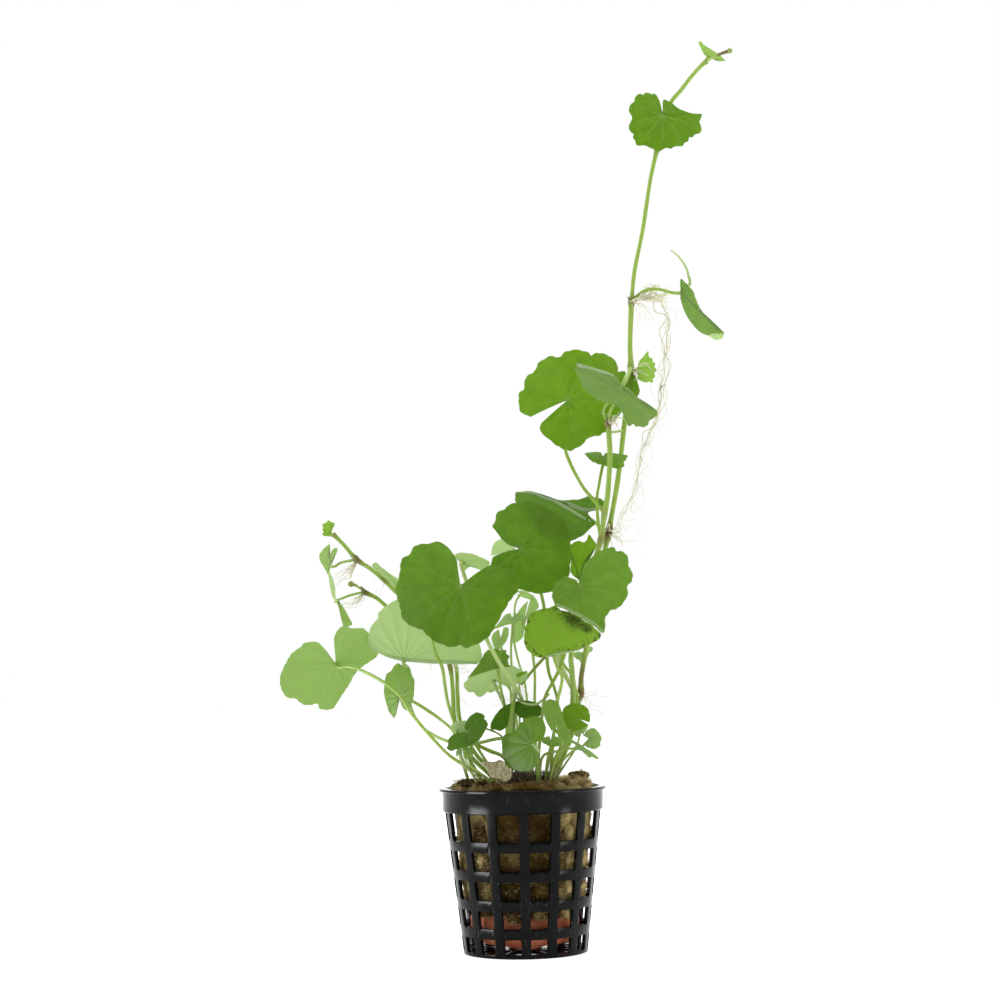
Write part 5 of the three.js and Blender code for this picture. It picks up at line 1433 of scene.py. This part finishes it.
def bodyRadius(height):
    share = height / (potShape["height"] - potShape["bandHeight"])
    return potShape["baseRadius"] + (potShape["bodyTopRadius"] - potShape["baseRadius"]) * share


def halfOpening(radius, rib):
    return radius * math.tan(math.pi / potShape["ribs"]) - rib / 2


# One bay of the wall, flat: across from -1 (mid rib) to 1 (next mid rib), up in millimetres
def wallPoint(bay, lean, height):
    radius = bodyRadius(height)
    half = halfOpening(radius, potShape["ribWidth"])
    pitch = 2 * math.pi / potShape["ribs"]
    if abs(lean) <= 1:
        turn = math.atan(half * lean / radius)
    else:
        edge = math.atan(half / radius)
        turn = math.copysign(edge + (pitch / 2 - edge) * (abs(lean) - 1), lean)
    turn += (bay + 0.5) * pitch - math.pi / 2
    return radius * math.cos(turn), radius * math.sin(turn), height


def makeWall(bm):
    corner, arcSteps = potShape["corner"], 3
    bodyTop = potShape["height"] - potShape["bandHeight"] + 0.8
    lows, height = [], potShape["baseThick"]
    for opening in potShape["windowHeights"]:
        lows.append((height, height + opening))
        height += opening + potShape["ringHeight"]
    made = {}

    def vert(bay, lean, height):
        place = wallPoint(bay, lean, height)
        key = tuple(round(value, 3) for value in place)
        if key not in made:
            made[key] = bm.verts.new([value * mm for value in place])
        return made[key]

    for bay in range(potShape["ribs"]):
        heights = [0.0]
        for low, high in lows:
            heights += [low, low + corner, (low + high) / 2, high - corner, high]
        heights.append(bodyTop)
        for low, high in zip(heights[:-1], heights[1:]):
            middle = (low + high) / 2
            window = next((pair for pair in lows if pair[0] < middle < pair[1]), None)
            half = halfOpening(bodyRadius(middle), potShape["ribWidth"])
            inner = 1 - corner / half
            leans = [-2, -1.5, -1, -inner, -inner / 3, inner / 3, inner, 1, 1.5, 2]
            for left, right in zip(leans[:-1], leans[1:]):
                lean = (left + right) / 2
                if window is None or abs(lean) > 1:
                    spots = [(left, low), (right, low), (right, high), (left, high)]
                elif abs(lean) > inner and (middle < window[0] + corner or middle > window[1] - corner):
                    upper = middle > sum(window) / 2
                    spots = cornerSpots(left, right, low, high, lean > 0, upper, arcSteps)
                else:
                    continue
                bm.faces.new([vert(bay, *spot) for spot in spots])


# A window's corner, filled up to a round arc
def cornerSpots(left, right, low, high, rightSide, top, steps):
    outer, inner = (right, left) if rightSide else (left, right)
    edge, middle = (high, low) if top else (low, high)
    spots = [(outer, edge), (outer, middle)]
    for step in range(1, steps):
        turn = math.pi / 2 * step / steps
        spots.append((inner + (outer - inner) * math.cos(turn), middle + (edge - middle) * math.sin(turn)))
    spots.append((inner, edge))
    return spots if rightSide != top else spots[::-1]


# The base: a hub, spokes and a rim, as a flat sheet before it is thickened
def makeBase(bm):
    radii = [2.5, potShape["slotInner"], 10.4, 13.4, potShape["slotOuter"], potShape["baseRadius"] - 0.02]
    pitch = 2 * math.pi / potShape["ribs"]
    made = {}

    def vert(bay, lean, radius):
        half = min(0.92, halfOpening(radius, potShape["spoke"]) / (radius * math.tan(pitch / 2)))
        half = max(half, 0.05)
        share = lean * half if abs(lean) <= 1 else math.copysign(half + (1 - half) * (abs(lean) - 1), lean)
        turn = (bay + 0.5 + share / 2) * pitch - math.pi / 2
        key = (round(radius * math.cos(turn), 3), round(radius * math.sin(turn), 3))
        if key not in made:
            made[key] = bm.verts.new((key[0] * mm, key[1] * mm, 0))
        return made[key]

    centre = bm.verts.new((0, 0, 0))
    for bay in range(potShape["ribs"]):
        for left, right in ((-2, -1), (-1, 1), (1, 2)):
            bm.faces.new([centre, vert(bay, left, radii[0]), vert(bay, right, radii[0])])
            for near, far in zip(radii[:-1], radii[1:]):
                if abs(left + right) < 1 and potShape["slotInner"] <= near < potShape["slotOuter"]:
                    continue
                spots = ((left, near), (left, far), (right, far), (right, near))
                bm.faces.new([vert(bay, *spot) for spot in spots])


# Makes an object of a finished sheet or shell
def objectOf(bm, name):
    bmesh.ops.recalc_face_normals(bm, faces=bm.faces)
    mesh = bpy.data.meshes.new(name)
    bm.to_mesh(mesh)
    bm.free()
    piece = bpy.data.objects.new(name, mesh)
    bpy.context.scene.collection.objects.link(piece)
    return piece


def thickened(bm, name, thick, offset, edge):
    piece = objectOf(bm, name)
    solid = piece.modifiers.new("wall", "SOLIDIFY")
    solid.thickness, solid.offset, solid.use_even_offset = thick * mm, offset, True
    bevel = piece.modifiers.new("edges", "BEVEL")
    bevel.width, bevel.segments = edge * mm, 2
    bevel.limit_method, bevel.angle_limit = "ANGLE", math.radians(50)
    return piece


def turnedShell(name, profile, facets):
    bm = bmesh.new()
    rings = []
    for step in range(facets):
        turn = 2 * math.pi * step / facets
        x, y = math.cos(turn), math.sin(turn)
        rings.append([bm.verts.new((r * x * mm, r * y * mm, z * mm)) for r, z in profile])
    for near, far in zip(rings, rings[1:] + rings[:1]):
        for k in range(len(profile)):
            after = (k + 1) % len(profile)
            bm.faces.new([near[k], far[k], far[after], near[after]])
    return objectOf(bm, name)


def appliedCopy(piece):
    graph = bpy.context.evaluated_depsgraph_get()
    mesh = bpy.data.meshes.new_from_object(piece.evaluated_get(graph))
    bpy.data.objects.remove(piece)
    return mesh


def makePot():
    shape = potShape
    wallSheet, baseSheet = bmesh.new(), bmesh.new()
    makeWall(wallSheet)
    makeBase(baseSheet)
    wall = thickened(wallSheet, "potWall", shape["wall"], -1, shape["edge"])
    base = thickened(baseSheet, "potBase", shape["baseThick"], 1, shape["edge"])
    for vertex in base.data.vertices:
        vertex.co.z = shape["baseThick"] * mm
    if base.data.polygons[0].normal.z > 0:
        base.data.flip_normals()
    bandLow, flangeLow = shape["height"] - shape["bandHeight"], shape["height"] - shape["flangeThick"]
    outer, flange, thin = shape["bandRadius"], shape["flangeRadius"], shape["wall"]
    soft = 0.25
    band = turnedShell("potBand", [
        (outer - 1.9, bandLow + soft), (outer - 1.6, bandLow), (outer - 0.45, bandLow),
        (outer - 0.2, bandLow + 0.2), (outer, flangeLow - 0.3), (outer + 0.12, flangeLow - 0.08),
        (flange - 0.25, flangeLow),
        (flange, flangeLow + soft), (flange, shape["height"] - soft), (flange - soft, shape["height"]),
        (outer - thin + 0.3, shape["height"]), (outer - thin, shape["height"] - 0.3),
    ], 144)
    mark = turnedShell("potMark", [(0.62, -0.16), (0.62, 0.12), (0.42, 0.12), (0.42, -0.16)], 20)
    height = 24.1
    mark.data.transform(Matrix.Rotation(math.radians(90), 4, "X"))
    mark.data.transform(Matrix.Translation((0.4 * mm, -bodyRadius(height) * mm, height * mm)))
    whole = bmesh.new()
    for piece in (wall, base, band, mark):
        mesh = appliedCopy(piece)
        whole.from_mesh(mesh)
        bpy.data.meshes.remove(mesh)
    mesh = bpy.data.meshes.new("net-pot")
    whole.to_mesh(mesh)
    whole.free()
    mesh.shade_smooth()
    mesh.set_sharp_from_angle(angle=math.radians(42))
    mesh.materials.append(blackPlastic)
    pot = bpy.data.objects.new("net-pot", mesh)
    bpy.context.scene.collection.objects.link(pot)
    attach(pot, "root")
    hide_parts("net_pot")
    print("pot made:", len(mesh.polygons), "faces")


makePot()


# Rockwool: a lumpy plug with loose fibres standing off it
woolShape = dict(
    low=12.6, top=woolTop, lowRadius=17.6, topRadius=21.2,
    grain=0.62, facets=190, fibres=6200, fibresOnTop=0.26, fibreRadius=0.034, fibreLength=2.4,
)


def woolRadius(height):
    share = (height - woolShape["low"]) / (woolShape["top"] - woolShape["low"])
    return woolShape["lowRadius"] + (woolShape["topRadius"] - woolShape["lowRadius"]) * np.clip(share, 0, 1)


# Turns a profile about the pot's axis into a closed lumpy skin
def lumpySkin(shell, profile, facets, roughen, tone):
    profile = np.array(profile)
    turn = np.arange(facets) * 2 * math.pi / facets
    ring = np.stack([np.cos(turn), np.sin(turn)], 1)
    inner = profile[1:-1]
    points = np.stack([
        inner[None, :, 0] * ring[:, None, 0], inner[None, :, 0] * ring[:, None, 1],
        np.broadcast_to(inner[None, :, 1], (facets, len(inner))),
    ], -1).reshape(-1, 3)
    points = np.vstack([points, (0, 0, profile[0, 1]), (0, 0, profile[-1, 1])])
    points = roughen(points)
    grid = np.arange(facets * len(inner)).reshape(facets, len(inner))
    after = np.roll(grid, -1, axis=0)
    quads = np.stack([grid[:, :-1], after[:, :-1], after[:, 1:], grid[:, 1:]], -1).reshape(-1, 4)
    low = np.stack([np.full(facets, len(points) - 2), after[:, 0], grid[:, 0]], -1)
    high = np.stack([np.full(facets, len(points) - 1), grid[:, -1], after[:, -1]], -1)
    addToShell(shell, points, [quads, low, high], 0, tone=tone)
    return points


def evenProfile(corners, step):
    spots = [np.array(corners[0], float)]
    for a, b in zip(corners[:-1], corners[1:]):
        a, b = np.array(a, float), np.array(b, float)
        count = max(1, int(np.linalg.norm(b - a) / step))
        spots += [a + (b - a) * k / count for k in range(1, count + 1)]
    return spots


# The way out from the pot's axis and the distance to it
def outwardOf(points):
    radial = points * (1, 1, 0)
    away = np.linalg.norm(radial, axis=1, keepdims=True)
    return radial / np.maximum(away, 1e-6), away[:, 0]


def roughenWool(points):
    outward, away = outwardOf(points)
    side = np.clip(away / 18, 0, 1) ** 2
    bulge = 0.9 * lumps(points * (1, 1, 0.8), 6.5, 3) + 0.7 * lumps(points, 2.2, 4)
    bulge = bulge + 0.4 * lumps(points, 0.9, 6)
    moved = points + outward * (bulge * side)[:, None]
    top = points[:, 2] > woolShape["top"] - 1.2
    rise = 0.8 * lumps(points, 6, 7) + 0.5 * lumps(points, 2.2, 8) + 0.25 * lumps(points, 0.8, 9)
    moved[:, 2] += np.where(top, rise - 0.4, 0.25 * bulge)
    return moved


def addFibre(shell, spot, way, rng, length, radius, tone):
    way = way / np.linalg.norm(way)
    bend = rng.normal(0, 0.32, 3) * length
    path = np.array([
        spot - way * 0.3, spot + way * length * 0.35 + bend * 0.2,
        spot + way * length * 0.7 + bend * 0.6, spot + way * length + bend,
    ])
    addRod(shell, path, radius * np.array((1, 1, 0.8, 0.4)), 3, 0, tone)


def makeWool():
    rng = np.random.default_rng(600)
    shell = newShell()
    shape = woolShape
    low, top = shape["low"], shape["top"]
    lowRadius, topRadius = shape["lowRadius"], shape["topRadius"]
    corners = [(0, low), (lowRadius - 1.5, low), (lowRadius, low + 1.5), (topRadius, top - 1.6),
               (topRadius - 1.6, top), (0, top)]
    lumpySkin(shell, evenProfile(corners, shape["grain"]), shape["facets"], roughenWool, (0.5, 0))
    for _ in range(shape["fibres"]):
        turn = rng.uniform(0, 2 * math.pi)
        out = np.array((math.cos(turn), math.sin(turn), 0))
        if rng.uniform() < shape["fibresOnTop"]:
            away = topRadius * math.sqrt(rng.uniform(0.1, 1.0))
            spot = np.array((away * math.cos(turn), away * math.sin(turn), top - 0.5))
            way = out * rng.uniform(-0.2, 1.0) + rng.normal(0, 0.6, 3)
            way[2] = abs(way[2]) * 0.7 + 0.1
        else:
            height = rng.uniform(low + 0.5, top - 0.5)
            away = float(woolRadius(height)) - 0.2
            spot = np.array((away * math.cos(turn), away * math.sin(turn), height))
            way = out * rng.uniform(0.02, 0.35) + np.cross(out, (0, 0, 1)) * rng.normal(0, 0.7)
            way = way + (0, 0, rng.normal(0, 0.9))
        spot = roughenWool(spot[None])[0]
        tone = (rng.uniform(0.35, 0.85), 0)
        length = shape["fibreLength"] * rng.uniform(0.4, 1.0)
        addFibre(shell, spot, way, rng, length, shape["fibreRadius"], tone)
    makePiece("rockwool-plug", shell, [rockwoolFibre], ["rockwool"], 180)
    tufts = newShell()
    for lump in woolTufts + topTufts:
        addWoolLump(tufts, lump, rng)
    makePiece("rockwool-tufts", tufts, [rockwoolFibre], [], 180)


# Lumps and crumbs of wool that lie on the plug, push out of a window or stick to the band
# Torn tufts: turn and height on the plug's side, how far they stand out, width, depth and height.
woolTufts = [
    dict(turn=-41, out=0.1, z=36.5, size=(2.0, 1.0, 3.0), tone=0.4),
    dict(turn=-37, out=0.2, z=34.4, size=(1.3, 1.0, 1.5), tone=0.6),
    dict(turn=44, out=0.2, z=36.6, size=(2.4, 1.1, 3.2), tone=0.6),
    dict(turn=63, out=0.4, z=37.4, size=(1.6, 1.2, 2.6), tone=0.5),
    dict(turn=76, out=0.9, z=35.6, size=(1.4, 1.2, 2.0), tone=0.6),
    dict(turn=-41, out=0.2, z=28.6, size=(2.4, 1.1, 2.2), tone=0.6),
    dict(turn=45, out=0.3, z=28.6, size=(2.2, 1.1, 2.4), tone=0.75),
    dict(turn=66, out=0.5, z=28.4, size=(1.8, 1.1, 2.2), tone=0.55),
    dict(turn=-34, out=0.3, z=20.2, size=(1.5, 1.1, 2.0), tone=0.65),
    dict(turn=-12, out=0.1, z=20.0, size=(2.0, 1.0, 1.9), tone=0.55),
    dict(turn=15, out=0.1, z=20.2, size=(2.2, 0.9, 2.2), tone=0.6),
    dict(turn=44, out=0.3, z=20.2, size=(2.2, 1.1, 2.2), tone=0.7),
    dict(turn=67, out=0.5, z=20.0, size=(1.6, 1.1, 1.8), tone=0.6),
    dict(turn=-40, out=-0.2, z=13.2, size=(2.2, 1.1, 1.2), tone=0.4),
    dict(turn=-11, out=0.1, z=12.0, size=(2.2, 1.1, 1.9), tone=0.62),
    dict(turn=16, out=0.1, z=12.8, size=(2.6, 1.1, 1.6), tone=0.65),
    dict(turn=43, out=0.1, z=12.8, size=(2.4, 1.1, 1.6), tone=0.6),
    dict(turn=71, out=2.0, z=45.2, size=(0.8, 0.5, 1.2), tone=0.5),
]
topTufts = [
    dict(at=(17.2, -8.0, 52.8), size=(2.4, 1.7, 1.2), tone=0.25),
    dict(at=(15.2, -9.5, 52.3), size=(1.5, 1.5, 0.9), tone=0.2),
    dict(at=(17.4, -11.6, 51.4), size=(2.6, 1.8, 1.1), tone=0.5),
    dict(at=(13.6, -14.8, 51.3), size=(2.6, 1.5, 0.8), tone=0.4),
    dict(at=(-16.8, -11.4, 51.5), size=(2.6, 2.0, 1.1), tone=0.35),
    dict(at=(-12.0, -15.6, 51.4), size=(1.6, 1.2, 0.6), tone=0.25),
]


lumpShape = dict(rows=20, facets=34, fibres=80, fibreLength=1.5, fibreRadius=0.055)


def addWoolLump(shell, lump, rng):
    shape = lumpShape
    size = np.array(lump["size"])
    profile = [(math.sin(a), -math.cos(a)) for a in np.linspace(0, math.pi, shape["rows"])]
    turn = math.radians(lump.get("turn", 0))
    if "turn" in lump:
        away = woolRadius(lump["z"]) + lump["out"]
        centre = np.array((away * math.sin(turn), -away * math.cos(turn), lump["z"]))
    else:
        centre = np.array(lump["at"])
    seed = int(centre[2] * 10 + lump.get("turn", 0))
    x, y = math.cos(turn), math.sin(turn)
    turned = np.array(((x, y, 0), (-y, x, 0), (0, 0, 1)))

    def roughen(points):
        rough = sum(0.42 / (k + 1) * lumps(points + centre, 0.9 / 2.2**k, seed + k) for k in range(3))
        return centre + points * size * (1 + rough[:, None]) @ turned

    lumpySkin(shell, profile, shape["facets"], roughen, (lump["tone"] - 0.12, 0))
    for _ in range(int(shape["fibres"] * size.max())):
        way = rng.normal(0, 1, 3)
        way /= np.linalg.norm(way)
        spot = centre + way * size @ turned * 0.95
        tone = (min(1, max(0, lump["tone"] + rng.uniform(-0.25, 0.45))), 0)
        way = way @ turned + rng.normal(0, 1.1, 3)
        length = shape["fibreLength"] * rng.uniform(0.4, 1)
        addFibre(shell, spot, way, rng, length, shape["fibreRadius"], tone)


makeWool()
print("rockwool made")


# The piece of fired clay under the plug, chipped and worn
clayShape = dict(low=2.7, top=12.0, radius=16.4, grain=0.55, facets=160)


def roughenClay(points):
    outward, away = outwardOf(points)
    chips = np.minimum(0, lumps(points, 3.4, 12) + 0.25) * 1.3
    grain = 0.16 * lumps(points, 0.8, 13) + 0.22 * lumps(points, 2.0, 14)
    side = np.clip(away / 14, 0, 1) ** 3
    moved = points + outward * ((chips + grain) * side)[:, None]
    moved[:, 2] += grain + np.where(points[:, 2] > 10.5, 0.5 * lumps(points, 4.0, 15), 0)
    moved[:, 2] += np.where(points[:, 2] < 3.4, 1.6 * lumps(points, 9.0, 16), 0)
    moved[:, 2] = np.maximum(moved[:, 2], 1.15)
    return moved


def makeClay():
    shell = newShell()
    low, top, radius = clayShape["low"], clayShape["top"], clayShape["radius"]
    corners = [(0, low), (radius - 3.2, low), (radius - 1.2, low + 0.8), (radius, low + 2.4),
               (radius, top - 1.4), (radius - 1.4, top), (0, top)]
    lumpySkin(shell, evenProfile(corners, clayShape["grain"]), clayShape["facets"], roughenClay, (0.5, 0))
    makePiece("clay-base", shell, [firedClay], ["clay_base"], 180)


makeClay()
print("clay made")


# The dark crown: a low tangle of old stalk bases and fibres
crownShape = dict(
    x=-0.6, y=-10.5, radius=3.2, grain=0.5, facets=40,
    stubs=130, beside=(5.6, 1.5, 0.2), stubsBeside=60, stubRadius=(0.1, 0.34),
)


def makeCrown():
    rng = np.random.default_rng(620)
    shell = newShell()
    shape = crownShape
    centre = np.array((shape["x"], shape["y"], woolTop - 0.4))
    profile = [(0, 0), (3.0, 0), (2.9, 1.2), (2.5, 2.4), (1.7, 3.4), (0.8, 3.9), (0, 4.0)]

    def roughen(points):
        return centre + points * (1 + 0.28 * lumps(points, 1.1, 21)[:, None])

    lumpySkin(shell, evenProfile(profile, shape["grain"]), shape["facets"], roughen, (0.5, 0))
    for stub in range(shape["stubs"] + shape["stubsBeside"]):
        turn, away = rng.uniform(0, 6.28), shape["radius"] * math.sqrt(rng.uniform())
        foot = centre + (away * math.cos(turn), away * math.sin(turn), 0)
        if stub >= shape["stubs"]:
            foot = centre + shape["beside"] + (away * math.cos(turn) * 0.6, away * math.sin(turn) * 0.6, 0)
        tip = foot + (rng.normal(0, 1.2), rng.normal(0, 1.0), rng.uniform(1.8, 5.4) * (1.15 - away / 4.5))
        middle = (foot + tip) / 2 + rng.normal(0, 0.5, 3)
        path = smoothPath([foot, middle, tip], 0.7)
        addRod(shell, path, rng.uniform(*shape["stubRadius"]) * np.linspace(1, 0.4, len(path)), 5)
    makePiece("crown-clump", shell, [darkCrown], ["crown"])


makeCrown()
print("crown made")


# Floor, light and camera
stageSettings = dict(
    floorSize=6.0, floorColour=(0.92, 0.92, 0.915), floorGlow=0.35,
    front=0.1, back=1.0, lightAim=(0, 0, 0.13),
)


def makeFloor():
    material, tree = newMaterial("paleFloor")
    surface = put(tree, "ShaderNodeBsdfPrincipled")
    surface.inputs["Base Color"].default_value = (*stageSettings["floorColour"], 1)
    surface.inputs["Roughness"].default_value = 0.9
    surface.inputs["Specular IOR Level"].default_value = 0.1
    surface.inputs["Emission Color"].default_value = (1, 1, 1, 1)
    surface.inputs["Emission Strength"].default_value = stageSettings["floorGlow"]
    put(tree, "ShaderNodeOutputMaterial", Surface=surface.outputs[0])
    half = stageSettings["floorSize"] / 2
    mesh = bpy.data.meshes.new("floor")
    corners = [(-half, -half, 0), (half, -half, 0), (half, half, 0), (-half, half, 0)]
    mesh.from_pydata(corners, [], [(0, 1, 2, 3)])
    floor = bpy.data.objects.new("floor", mesh)
    floor.location.z = -0.0001
    mesh.materials.append(material)
    bpy.context.scene.collection.objects.link(floor)


# A white studio round the plant, dimmer on the side that it is seen from
def makeWorld():
    world = bpy.data.worlds.new("studio")
    bpy.context.scene.world = world
    world.use_nodes = True
    tree = world.node_tree
    tree.nodes.clear()
    way = put(tree, "ShaderNodeTexCoord").outputs["Generated"]
    depth = put(tree, "ShaderNodeSeparateXYZ", Vector=way).outputs[1]
    level = ramp(tree, depth, -0.8, -0.35, stageSettings["front"], stageSettings["back"])
    fromCamera = put(tree, "ShaderNodeLightPath").outputs[0]
    seenLevel = put(tree, "ShaderNodeMix", dict(data_type="FLOAT"), i0=fromCamera, i2=level, i3=1.0)
    background = put(tree, "ShaderNodeBackground", Color=(1, 1, 1, 1), Strength=seenLevel.outputs[0])
    put(tree, "ShaderNodeOutputWorld", Surface=background.outputs[0])


lightSettings = [
    dict(name="left", at=(-0.6, -0.35, 0.55), size=0.6, power=3.0),
    dict(name="right", at=(0.6, -0.25, 0.5), size=0.5, power=2.0),
    dict(name="behind", at=(0.1, 0.75, 0.5), size=0.9, power=5.0),
    dict(name="above", at=(0.0, -0.1, 0.95), size=0.8, power=4.0),
    dict(name="left card", at=(-0.2, -0.1, 0.05), size=0.1, height=0.12, power=1.3),
    dict(name="right card", at=(0.21, -0.12, 0.05), size=0.05, height=0.12, power=0.22),
]


def makeLights():
    for settings in lightSettings:
        lamp = bpy.data.lights.new(settings["name"], "AREA")
        lamp.energy, lamp.size = settings["power"], settings["size"]
        if "height" in settings:
            lamp.shape, lamp.size_y = "RECTANGLE", settings["height"]
        light = bpy.data.objects.new(settings["name"], lamp)
        light.location = settings["at"]
        toward = Vector(stageSettings["lightAim"]) - light.location
        light.rotation_euler = toward.to_track_quat("-Z", "Y").to_euler()
        light.visible_camera = False
        if "height" in settings:
            light.visible_diffuse = light.visible_transmission = False
        bpy.context.scene.collection.objects.link(light)


def makeCamera():
    lens = bpy.data.cameras.new("view")
    lens.sensor_width = 36
    lens.lens = eye["focal"] * lens.sensor_width / (2 * eye["middle"])
    lens.clip_start, lens.clip_end = 0.01, 20
    camera = bpy.data.objects.new("view", lens)
    camera.location = (eye["right"] * mm, -eye["distance"] * mm, eye["height"] * mm)
    look = Euler((math.radians(90 + eye["tiltDeg"]), 0, 0)).to_matrix()
    camera.rotation_euler = (look @ Matrix.Rotation(math.radians(-eye["rollDeg"]), 3, "Z")).to_euler()
    bpy.context.scene.collection.objects.link(camera)
    bpy.context.scene.camera = camera


makeFloor()
makeWorld()
makeLights()
makeCamera()
bpy.context.scene.view_settings.view_transform = "Standard"
bpy.context.scene.view_settings.look = "None"
print("stage, light and camera made")
